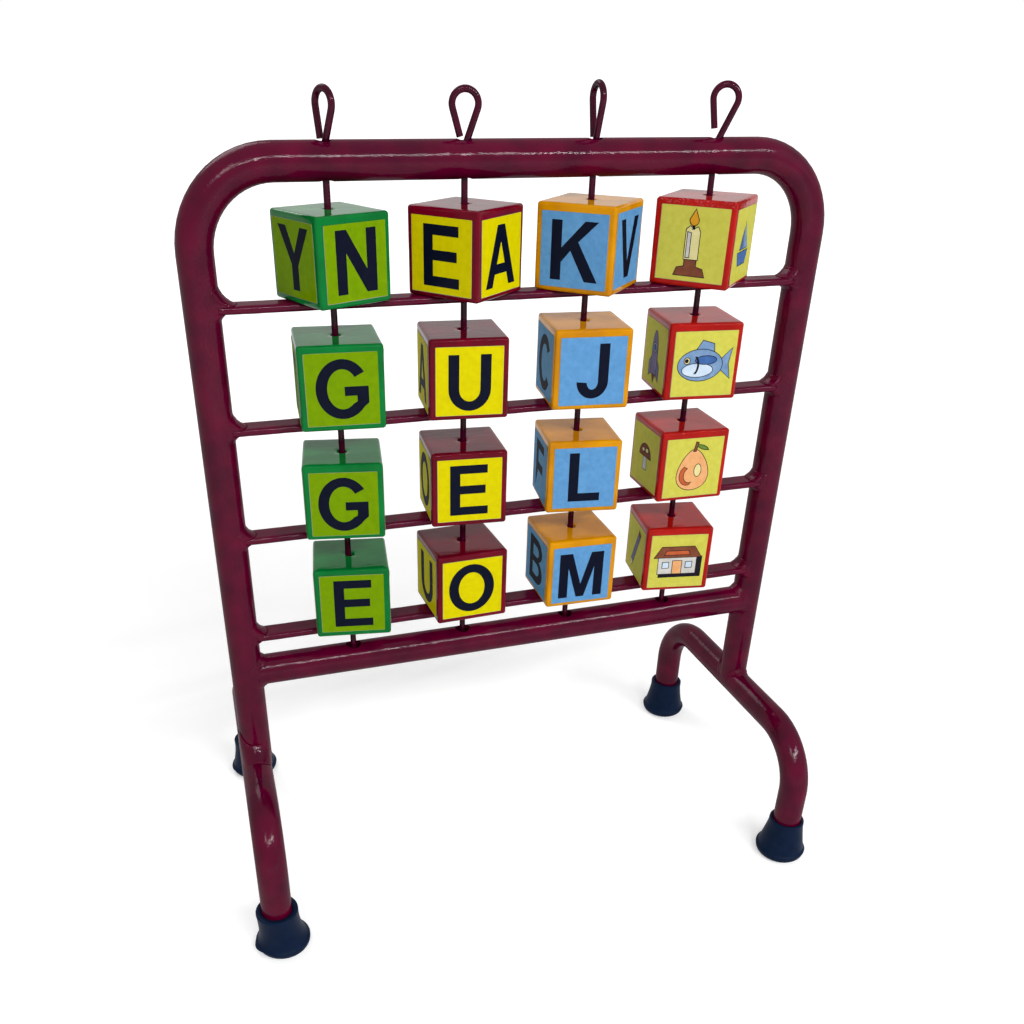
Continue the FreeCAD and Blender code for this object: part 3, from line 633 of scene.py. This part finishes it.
def glued_askew(row, column, side):
    """The small slip and turn with which a sticker was glued on, the same for its print."""
    hand = random.Random(100 * row + 10 * column + side)
    slip = Matrix.Translation((hand.uniform(-0.4, 0.4) * MM, hand.uniform(-1.2, 0.0) * MM, 0))
    return slip @ Matrix.Rotation(math.radians(hand.uniform(-0.5, 0.5)), 4, "Z")


white_card = cut_card("cut_white_card")


def card_set(row, column, material):
    size = standing(row, column)[1]
    half = size / 2 - CARD_MARGIN
    shell = bmesh.new()
    for side in range(4):
        lay = face_place(row, column, side) @ glued_askew(row, column, side)
        hand = random.Random(500 + 100 * row + 10 * column + side)
        lifted = hand.randrange(4)
        outline = [(half, 0.5 * MM, 0.0), (half, 0.5 * MM, CARD_THICKNESS - 0.05 * MM),
                   (half - 0.05 * MM, 0.45 * MM, CARD_THICKNESS)]
        printed = [(half - BARE_BORDER, 0.3 * MM, CARD_THICKNESS + 0.005 * MM)]
        for share in (0.9, 0.75, 0.5, 0.2):
            printed.append(((half - BARE_BORDER) * share, 0.25 * MM * share, CARD_THICKNESS))
        miscut = Vector((hand.uniform(0.02, 0.2) * MM, hand.uniform(0.02, 0.2) * MM, 0))
        rings = []
        for reach, corner, height in outline + printed:
            ring = []
            for point in square_ring(reach, corner, height, 8, 2):
                curl = Vector((-1 if lifted in (0, 3) else 1, -1 if lifted < 2 else 1, 0)) * half
                if (reach, corner, height) in printed:
                    point += miscut
                gap = max(0.0, 1 - (point.xy.to_3d() - curl).length / CURL_REACH)
                point.z += CARD_CURL * gap ** 2
                ring.append(shell.verts.new(lay @ point))
            rings.append(ring)
        for place, (first, second) in enumerate(zip(rings, rings[1:])):
            bridge(shell, first, second, 0 if place < len(outline) else 1)
        shell.faces.new(rings[-1]).material_index = 1
        shell.faces.new(reversed(rings[0]))
    piece = new_piece("stickers_of_" + cube_name(row, column), shell, [white_card, material], False)
    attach(piece, cube_name(row, column))
    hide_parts("stickers_r%d_c%d" % (row, column))


for column, (slot, dark, light) in CARDS.items():
    card = printed_card("filmed_" + slot + "_card", dark, light)
    for row in range(1, 5):
        card_set(row, column, card)

# The letters: one bold plain capital a sticker, printed in blue-black, drawn here from stems, bars and
# bowls in millimetres. In play, three columns are turned to spell a word and the fourth to its picture.
CAP = 34.5
STEM = 6.8
BAR = 5.8
INK_FILM = 0.03 * MM
MIDDLE = 17.6


def bow(across, up, wide, tall, start, finish, steps=18):
    """Points on a stretched arc, from start to finish in degrees."""
    points = []
    for step in range(steps + 1):
        angle = math.radians(start + (finish - start) * step / steps)
        points.append((across + wide * math.cos(angle), up + tall * math.sin(angle)))
    return points


def arms(width, lengths):
    """A stem with bars to its right, as in E, F and L: lengths gives each bar's top and reach."""
    points = [(0, 0)]
    for top, reach in lengths:
        if top > BAR:
            points.append((STEM, top - BAR))
        points += [(reach, top - BAR), (reach, top)]
        if top < CAP:
            points.append((STEM, top))
    if lengths[-1][0] < CAP:
        points.append((STEM, CAP))
    return width, [points + [(0, CAP)]]


def capitals():
    """Width of each capital and its outlines, counters included."""
    c, s, b, m = CAP, STEM, BAR, MIDDLE
    lower = bow(15, 9.7, 12.5, 9.7, -90, 68)
    upper = bow(14.5, 26.2, 11.6, 8.3, -62, 90)
    outer = bow(16, c / 2, 16, 18.1, 34, 322, 34)
    inner = bow(16, c / 2, 9.2, 12.1, 312, 36, 30)
    low, top = m - b / 2, m + b / 2
    outer_top = bow(14, 25.6, 13.2, 9.5, 14, 262, 26)
    inner_low = bow(14, 10.1, 7.2, 4.5, 84, -170, 22)
    outer_low = bow(14, 9.6, 14, 10.2, -168, 82, 26)
    inner_top = bow(14, 24.8, 6.4, 4.1, 268, 14, 22)
    return {
        "A": (32, [[(0, 0), (7.2, 0), (9.7, 7.2), (22.3, 7.2), (24.8, 0), (32, 0), (19.9, c), (12.1, c)],
                   [(11.7, 12.8), (20.3, 12.8), (16, 25.2)]]),
        "B": (27.5, [[(0, 0)] + lower + upper + [(0, c)],
                     [(s, b)] + bow(14.5, 10.5, 5.9, 4.7, -90, 90) + [(s, 15.2)],
                     [(s, 20.4)] + bow(14, 24.55, 5.3, 4.15, -90, 90) + [(s, 28.7)]]),
        "C": (31, [bow(16, c / 2, 16, 18.1, 36, 324, 34) + bow(16, c / 2, 9, 12, 320, 40, 30)]),
        "D": (28.5, [[(0, 0)] + bow(11.5, c / 2, 17, c / 2, -90, 90) + [(0, c)],
                     [(s, b)] + bow(11.2, c / 2, 10.4, c / 2 - b, -90, 90) + [(s, c - b)]]),
        "E": arms(25.5, ((b, 25.5), (m + b / 2, 23.8), (c, 25))),
        "F": arms(24, ((m + b / 2 - 1, 21.5), (c, 24))),
        "G": (31.6, [outer + [(31.6, 8.6), (31.6, 18.8), (17.2, 18.8), (17.2, 13.2), (24.6, 13.2),
                              (24.6, 9.6)] + inner]),
        "H": (27.5, [[(0, 0), (s, 0), (s, low), (27.5 - s, low), (27.5 - s, 0), (27.5, 0), (27.5, c),
                      (27.5 - s, c), (27.5 - s, top), (s, top), (s, c), (0, c)]]),
        "I": (s, [[(0, 0), (s, 0), (s, c), (0, c)]]),
        "J": (21, [[(21, c), (21 - s, c)] + bow(10.5, 10.5, 10.5 - s, 5.3, 0, -172)
                   + bow(10.5, 10.5, 10.5, 11.1, -180, 0)]),
        "K": (31, [[(0, 0), (s, 0), (s, 10.4), (12.7, 17.3), (22.6, 0), (31, 0), (17.6, 22.6),
                    (30.2, c), (21.6, c), (s, 18.9), (s, c), (0, c)]]),
        "L": arms(22, ((b, 22),)),
        "M": (33, [[(0, 0), (s, 0), (s, 23.2), (13.6, 0), (19.4, 0), (33 - s, 23.2), (33 - s, 0),
                    (33, 0), (33, c), (23.6, c), (16.5, 10.2), (9.4, c), (0, c)]]),
        "N": (27.5, [[(0, 0), (s, 0), (s, 22.2), (20.2, 0), (27.5, 0), (27.5, c), (27.5 - s, c),
                      (27.5 - s, 12.6), (7.4, c), (0, c)]]),
        "O": (33, [bow(16.5, c / 2, 16.5, 18.2, 0, 360, 48)[:-1],
                   bow(16.5, c / 2, 9.4, 12, 0, 360, 48)[:-1]]),
        "P": (26.5, [[(0, 0), (s, 0), (s, 12.4)] + bow(14.5, 23.45, 12, 11.05, -90, 90) + [(0, c)],
                     [(s, 18.1)] + bow(14, 23.4, 5.7, 5.3, -90, 90) + [(s, 28.7)]]),
        "R": (29, [[(0, 0), (s, 0), (s, 13.4), (11.4, 13.4), (20.4, 0), (29, 0), (19.4, 14.6)]
                   + bow(15, 24.2, 12.4, 10.3, -55, 90) + [(0, c)],
                   [(s, 19)] + bow(14.4, 23.85, 5.8, 4.85, -90, 90) + [(s, 28.7)]]),
        "S": (28, [outer_top + inner_low + outer_low + inner_top]),
        "T": (28, [[(14 - s / 2, 0), (14 + s / 2, 0), (14 + s / 2, c - b), (28, c - b), (28, c),
                    (0, c), (0, c - b), (14 - s / 2, c - b)]]),
        "U": (27, [[(0, c)] + bow(13.5, 13, 13.5, 13.6, -180, 0) + [(27, c), (27 - s, c)]
                   + bow(13.5, 13, 13.5 - s, 7.6, 0, -180) + [(s, c)]]),
        "V": (31, [[(11.7, 0), (19.3, 0), (31, c), (23.6, c), (15.5, 9.4), (7.4, c), (0, c)]]),
        "X": (30, [[(0, 0), (8.2, 0), (15, 11.6), (21.8, 0), (30, 0), (19.4, 17.6), (29.4, c),
                    (21.4, c), (15, 23.7), (8.6, c), (0.6, c), (10.6, 17.6)]]),
        "Y": (31, [[(15.5 - s / 2, 0), (15.5 + s / 2, 0), (15.5 + s / 2, 13.8), (31, c), (22.9, c),
                    (15.5, 20.2), (8.1, c), (0, c), (15.5 - s / 2, 13.8)]]),
    }


CAPITALS = capitals()


def fill_outlines(outlines, thickness):
    """A thin closed film inside the outlines, with holes where outlines lie inside others."""
    drawing = bpy.data.curves.new("drawing", "CURVE")
    drawing.dimensions = "2D"
    drawing.fill_mode = "BOTH"
    drawing.extrude = thickness / 2
    for outline in outlines:
        line = drawing.splines.new("POLY")
        line.points.add(len(outline) - 1)
        for point, (across, up) in zip(line.points, outline):
            point.co = (across * MM, up * MM, 0, 1)
        line.use_cyclic_u = True
    holder = bpy.data.objects.new("drawing", drawing)
    mesh = bpy.data.meshes.new_from_object(holder)
    bpy.data.objects.remove(holder)
    bpy.data.curves.remove(drawing)
    return mesh


def print_onto(shell, outlines, lay, lift, material=0):
    """Adds a printed film to a piece's bmesh, laid on a face and lifted clear of what is under it."""
    film = fill_outlines(outlines, INK_FILM)
    film.transform(lay @ Matrix.Translation((0, 0, lift)))
    known = len(shell.faces)
    shell.from_mesh(film)
    shell.faces.ensure_lookup_table()
    for face in shell.faces[known:]:
        face.material_index = material
    bpy.data.meshes.remove(film)


def printing_ink(name, colour, worn):
    """Printed ink under film: nearly flat in colour, with stray flecks where the film has chipped."""
    material, tree, where = new_material(name)
    clouds = add(tree, "ShaderNodeTexNoise", {"Vector": where, "Scale": per_metre(5.0), "Detail": 3.0})
    chips = add(tree, "ShaderNodeTexVoronoi", {"Vector": where, "Scale": per_metre(11.0)})
    fleck = add(tree, "ShaderNodeMapRange", {"Value": chips.outputs["Distance"], "From Min": 0.05,
            "From Max": 0.035})
    tone = add(tree, "ShaderNodeMix", {"Factor": clouds.outputs["Fac"], "A": linear(colour),
            "B": linear(worn)}, data_type="RGBA")
    chosen = add(tree, "ShaderNodeMath", {0: chips.outputs["Color"], 1: 0.93}, operation="GREATER_THAN")
    where_chipped = add(tree, "ShaderNodeMath", {0: fleck.outputs["Result"], 1: chosen.outputs[0]},
            operation="MULTIPLY")
    shade = add(tree, "ShaderNodeMix", {"Factor": where_chipped.outputs[0], "A": tone.outputs["Result"],
            "B": linear("8f9498")}, data_type="RGBA")
    close(tree, add(tree, "ShaderNodeBsdfPrincipled", {
        "Base Color": shade.outputs["Result"], "Roughness": 0.6, "Specular IOR Level": 0.0,
        "Coat Weight": FILM_GLOSS, "Coat Roughness": 0.2}))
    return material


blue_black = printing_ink("blue_black_printing_ink", "06091a", "0d1224")

# Letters of each cube: front, right, back and left, rows from the top and columns from the left.
LETTERS = (("NTDY", "AOIE", "KVHB"), ("GPNT", "UEIA", "JMTC"), ("GDXT", "EAUO", "LRBF"),
           ("ESPN", "OIAU", "MPCB"))
INK_LIFT = CARD_THICKNESS + 0.03 * MM
INK_SLIP = 0.8
WELDED = 0.001 * MM


def letters_of_cube(row, column):
    shell = bmesh.new()
    for side, letter in enumerate(LETTERS[row - 1][column - 1]):
        width, outlines = CAPITALS[letter]
        hand = random.Random(900 + 100 * row + 10 * column + side)
        slip = Matrix.Translation((-width / 2 * MM + hand.uniform(-INK_SLIP, INK_SLIP) * MM,
                                   -CAP / 2 * MM + hand.uniform(-INK_SLIP, INK_SLIP) * MM, 0))
        lay = face_place(row, column, side) @ glued_askew(row, column, side) @ slip
        print_onto(shell, outlines, lay, INK_LIFT)
    bmesh.ops.remove_doubles(shell, verts=shell.verts, dist=WELDED)
    piece = new_piece("letters_of_" + cube_name(row, column), shell, [blue_black], False)
    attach(piece, cube_name(row, column))


for row in range(1, 5):
    for column in (1, 2, 3):
        letters_of_cube(row, column)

# Plain pictures for the fourth column's stickers: flat shapes with a dark line round each, printed in
# watery inks one over the other. Sizes are in millimetres from the middle of the sticker.
PICTURE_INKS = {
    "line": ("15131a", "201d26"), "cream": ("c9bd78", "dcd4a0"), "brown": ("5e3122", "87503a"),
    "ochre": ("b5770f", "d79c2c"), "slate": ("4d6d96", "86a2c2"), "pale": ("9fb4cc", "d3dee8"),
    "blue": ("27477f", "4a70aa"), "plum": ("57506f", "857c9a"), "peach": ("c98652", "e3b07c"),
    "russet": ("a04426", "c4683e"), "grey": ("a5a3a0", "cfcdc6"), "leaf": ("46642a", "6f8b3c")}
LINE_WIDTH = 0.45
LAYER = 0.04 * MM
PICTURE_SCALE = 1.1


def box(left, low, right, high):
    return [(left, low), (right, low), (right, high), (left, high)]


def oval(across, up, wide, tall):
    return bow(across, up, wide, tall, 0, 360, 30)[:-1]


def bloom(across, up, inner, outer, points):
    """A star with that many points."""
    spikes = []
    for step in range(2 * points):
        reach = outer if step % 2 == 0 else inner
        angle = math.pi * step / points + math.pi / 2
        spikes.append((across + reach * math.cos(angle), up + reach * math.sin(angle)))
    return spikes


def grown(outline, width):
    """The outline moved outwards by width, for the dark line that shows round a shape."""
    area = sum(a[0] * b[1] - b[0] * a[1] for a, b in zip(outline, outline[1:] + outline[:1]))
    facing = 1 if area > 0 else -1
    moved = []
    for place, point in enumerate(outline):
        before = Vector(point) - Vector(outline[place - 1])
        after = Vector(outline[(place + 1) % len(outline)]) - Vector(point)
        before.normalize()
        after.normalize()
        normal = Vector((before.y + after.y, -before.x - after.x)) * facing
        normal.normalize()
        corner = max(0.5, math.sqrt(max(0.0, (1 + before.dot(after)) / 2)))
        moved.append(tuple(Vector(point) + normal * width / corner))
    return moved


def pear(wide, tall):
    turns = [2 * math.pi * step / 36 for step in range(36)]
    return [(wide * math.cos(a) * (1 - 0.32 * math.sin(a)), tall * math.sin(a) - 1.5) for a in turns]


# Pictures of each cube: front, right, back and left, rows from the top.
PICTURES = (
    ((("blue", [(-11, -4), (11, -4), (7.5, -11), (-8, -11)]),
      ("slate", [(0.8, -2.4), (0.8, 12), (9, -2.4)]), ("blue", [(-0.8, -2.4), (-0.8, 9), (-7, -2.4)])),
     (("ochre", bloom(0, 0, 8.5, 14.5, 11)), ("cream", oval(0, 0, 7.4, 7.4))),
     (("leaf", bow(-6, 0, 17, 15, -52, 52, 16) + bow(12, 0, 17, 15, 128, 232, 16)),
      ("line", box(2.6, -15, 3.4, 9))),
     (("brown", [(-9, -17), (9, -17), (7.5, -13), (3.4, -12), (3.4, -8), (-3.4, -8), (-3.4, -12),
                 (-7.5, -13)]),
      ("cream", [(-4, -8), (4, -8), (4, 7), (2.6, 9.4), (0.4, 8.2), (-2, 9.6), (-4, 8)]),
      ("grey", [(-3, -7), (-1.2, -7), (-1.2, 6), (-3, 6.4)]), ("line", box(-0.4, 8.4, 0.4, 11.6)),
      ("ochre", bow(0, 13.2, 2.5, 3, 180, 360, 12) + [(0.3, 18.4)]))),
    ((("slate", [(9, 1), (17, 9), (15.2, 0), (17, -9), (9, -2)]),
      ("slate", [(-7, 6), (-2, 14), (5, 12), (6, 5)]), ("slate", oval(-2.5, -0.6, 14, 9.4)),
      ("pale", oval(-4, -3.6, 9.6, 4)), ("blue", oval(1, 2.4, 6.5, 2.4)),
      ("line", bow(-6.5, -0.6, 3, 5.6, 300, 420, 10) + bow(-6.9, -0.6, 3, 5.6, 60, -60, 10)),
      ("cream", oval(-11, 2.2, 1.7, 1.7)), ("line", oval(-11.2, 2.2, 0.8, 0.8))),
     (("cream", bow(0, 0, 13, 13, 60, 300, 26) + bow(6, 0, 11.6, 11.6, 260, 100, 22)),),
     (("brown", box(-2, -16, 2, -4)), ("leaf", oval(-5, -1, 7, 6.4)), ("leaf", oval(5.4, -0.4, 7, 6.4)),
      ("leaf", oval(0, 7, 8, 7.4))),
     (("brown", [(-3.2, -12), (3.2, -12), (0, -17)]), ("plum", [(-5, -12), (-9, -14.6), (-9, -6), (-5, -2)]),
      ("plum", [(5, -12), (9, -14.6), (9, -6), (5, -2)]),
      ("plum", [(-5, -12), (5, -12)] + bow(-5, 2, 10, 15, 0, 60, 10) + bow(5, 2, 10, 15, 120, 180, 10)),
      ("grey", oval(0, 4.4, 2.6, 2.6)), ("blue", oval(0, 4.4, 1.7, 1.7)))),
    ((("peach", pear(10.4, 13.4)),
      ("russet", bow(-3.4, -5, 5.4, 6.4, 120, 290, 14) + bow(-2, -5, 4.2, 5.2, 290, 120, 14)),
      ("cream", oval(3.4, -2, 2.2, 4)), ("brown", [(-0.7, 11), (0.7, 11), (2, 16.4), (0.6, 16.8)]),
      ("leaf", bow(1.6, 9.6, 8, 5.4, 20, 100, 8) + bow(8.8, 17, 8, 5.4, 200, 270, 8))),
     tuple(("russet", oval(7 * math.cos(a), 7 * math.sin(a), 4.6, 4.6))
           for a in (0.3, 1.557, 2.814, 4.07, 5.327)) + (("ochre", oval(0, 0, 4, 4)),),
     (("grey", oval(9.6, 0, 4.4, 5)), ("cream", oval(9.6, 0, 2.2, 2.8)),
      ("grey", [(-9, 8), (9, 8), (7, -9), (-7, -9)]), ("slate", box(-8.2, 0.6, 8.2, 4))),
     (("grey", [(-2.6, -8), (2.8, -8), (2, 2), (-1.8, 2)]), ("brown", bow(0, 0.6, 8.6, 8, 0, 180, 20)),
      ("cream", oval(-3, 4.4, 1.5, 1.1)), ("cream", oval(2.6, 5, 1.8, 1.3)))),
    ((("line", [(-12, -11.4), (16.6, -11.4), (16.6, 3), (13.6, 3), (13.6, -9), (-12, -9)]),
      ("grey", box(-13, -9, 13, 3)), ("brown", [(-16, 3), (16, 3), (11, 10.6), (-11.4, 10.6)]),
      ("russet", [(-9, 5), (8, 5), (7, 7.6), (-8, 7.6)]), ("peach", box(-3, -9, 3, 0.4)),
      ("pale", box(-10, -4.6, -6, -0.6)), ("pale", box(6, -4.6, 10, -0.6))),
     (("blue", [(0, 14), (9, 3), (0, 1), (-9, 3)]), ("russet", [(9, 3), (0, -11), (-9, 3), (0, 1)]),
      ("line", [(-0.4, -11), (0.4, -11), (3.4, -17), (2.6, -17)])),
     (("russet", oval(0, 0, 13, 13)),
      ("cream", bow(0, 0, 13, 4.6, 180, 360, 18) + bow(0, 1.8, 13, 4.6, 0, -180, 18)),
      ("ochre", oval(0, 8.6, 4.4, 2.4))),
     (("plum", [(-7.4, -10), (-3.6, -12), (8.4, 11), (4.6, 13)]),
      ("cream", [(-7.4, -10), (-3.6, -12), (-8.4, -17)]),
      ("brown", [(4.6, 13), (8.4, 11), (9.6, 13.4), (5.8, 15.4)]))))


def pictures_of_cube(row, inks):
    shell = bmesh.new()
    names = list(inks)
    for side, shapes in enumerate(PICTURES[row - 1]):
        lay = face_place(row, 4, side) @ glued_askew(row, 4, side)
        lay = lay @ Matrix.Diagonal((PICTURE_SCALE, PICTURE_SCALE, 1, 1))
        for layer, (ink, outline) in enumerate(shapes):
            lift = INK_LIFT + layer * LAYER
            print_onto(shell, [grown(outline, LINE_WIDTH)], lay, lift, names.index("line"))
            if ink != "line":
                print_onto(shell, [outline], lay, lift + LAYER / 2, names.index(ink))
    bmesh.ops.remove_doubles(shell, verts=shell.verts, dist=WELDED)
    piece = new_piece("pictures_of_" + cube_name(row, 4), shell, list(inks.values()), False)
    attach(piece, cube_name(row, 4))


inks = {ink: printing_ink(ink + "_picture_ink", *tones) for ink, tones in PICTURE_INKS.items()}
for row in range(1, 5):
    pictures_of_cube(row, inks)

# A plain studio: a pale floor, a large soft lamp on the left, a long strip lamp in front that draws a
# thin line of light on the tubes, weaker lamps at the right and behind, and a white room all round.
CAMERA_PLACE = (-0.22511, -0.62330, 0.55504)
CAMERA_AZIMUTH = math.radians(18.51)
CAMERA_ELEVATION = math.radians(30.71)
CAMERA_ROLL = math.radians(-1.10)
FOCAL_PIXELS = 1001.22
CENTRE_PIXEL = (486.33, 643.49)
IMAGE_PIXELS = 1024
SENSOR = 36.0


def aim_camera():
    forward = Vector((math.sin(CAMERA_AZIMUTH) * math.cos(CAMERA_ELEVATION),
                      math.cos(CAMERA_AZIMUTH) * math.cos(CAMERA_ELEVATION),
                      -math.sin(CAMERA_ELEVATION)))
    right = Vector((math.cos(CAMERA_AZIMUTH), -math.sin(CAMERA_AZIMUTH), 0))
    down = forward.cross(right)
    rolled_right = math.cos(CAMERA_ROLL) * right + math.sin(CAMERA_ROLL) * down
    rolled_down = -math.sin(CAMERA_ROLL) * right + math.cos(CAMERA_ROLL) * down
    lens = bpy.data.cameras.new("studio_camera")
    lens.sensor_width = SENSOR
    lens.lens = FOCAL_PIXELS / IMAGE_PIXELS * SENSOR
    lens.shift_x = (IMAGE_PIXELS / 2 - CENTRE_PIXEL[0]) / IMAGE_PIXELS
    lens.shift_y = (CENTRE_PIXEL[1] - IMAGE_PIXELS / 2) / IMAGE_PIXELS
    camera = bpy.data.objects.new("studio_camera", lens)
    bpy.context.scene.collection.objects.link(camera)
    axes = Matrix((rolled_right, -rolled_down, -forward)).transposed()
    camera.matrix_world = Matrix.Translation(CAMERA_PLACE) @ axes.to_4x4()
    bpy.context.scene.camera = camera


aim_camera()


FLOOR_HALF = 30


def background_rays(tree):
    """1 for the rays that show the white room: from the camera, off gloss or through glass."""
    rays = add(tree, "ShaderNodeLightPath").outputs
    seen = add(tree, "ShaderNodeMath", {0: rays["Is Camera Ray"], 1: rays["Is Glossy Ray"]},
            operation="MAXIMUM")
    return add(tree, "ShaderNodeMath", {0: seen.outputs[0], 1: rays["Is Transmission Ray"]},
               operation="MAXIMUM").outputs[0]


def pale_floor():
    shell = bmesh.new()
    bmesh.ops.create_grid(shell, x_segments=2, y_segments=2, size=FLOOR_HALF)
    material, tree, where = new_material("matt_white_floor")
    seen = background_rays(tree)
    away = add(tree, "ShaderNodeVectorMath", {0: where}, operation="LENGTH")
    ramp = add(tree, "ShaderNodeMapRange", {"Value": away.outputs["Value"], "From Min": 0.5,
            "From Max": 2.6, "To Min": 0.35, "To Max": 0.95})
    lift = add(tree, "ShaderNodeMath", {0: seen, 1: ramp.outputs["Result"]}, operation="MULTIPLY")
    matt = add(tree, "ShaderNodeBsdfDiffuse", {"Color": linear("e6e6e6")})
    glow = add(tree, "ShaderNodeEmission", {"Strength": lift.outputs[0]})
    close(tree, add(tree, "ShaderNodeAddShader", {0: matt.outputs[0], 1: glow.outputs[0]}))
    new_piece("studio_floor", shell, [material], False)


pale_floor()


LAMPS_AIM = (0, 0, 0.3)


def soft_lamp(name, place, wide, tall, power):
    light = bpy.data.lights.new(name, "AREA")
    light.shape = "RECTANGLE"
    light.size = wide
    light.size_y = tall
    light.energy = power
    lamp = bpy.data.objects.new(name, light)
    bpy.context.scene.collection.objects.link(lamp)
    lamp.location = place
    aim = Vector(LAMPS_AIM) - Vector(place)
    lamp.rotation_euler = aim.to_track_quat("-Z", "Y").to_euler()


soft_lamp("left_lamp", (-0.85, -1.7, 1.7), 0.5, 0.5, 10)
soft_lamp("strip_lamp", (0.5, -1.75, 1.55), 1.9, 0.06, 40)
soft_lamp("right_lamp", (1.5, -1.2, 1.2), 1.2, 1.2, 2)
soft_lamp("back_lamp", (-0.6, 1.3, 1.8), 1.0, 1.0, 14)

world = bpy.data.worlds.new("white_room")
world.use_nodes = True
world.node_tree.nodes.clear()
room = world.node_tree
level = add(room, "ShaderNodeMapRange", {"Value": background_rays(room), "To Min": 0.35})
add(room, "ShaderNodeOutputWorld", {"Surface": add(room, "ShaderNodeBackground", {
    "Color": (1, 1, 1, 1), "Strength": level.outputs[0]}).outputs[0]})
bpy.context.scene.world = world
bpy.context.scene.view_settings.view_transform = "Standard"
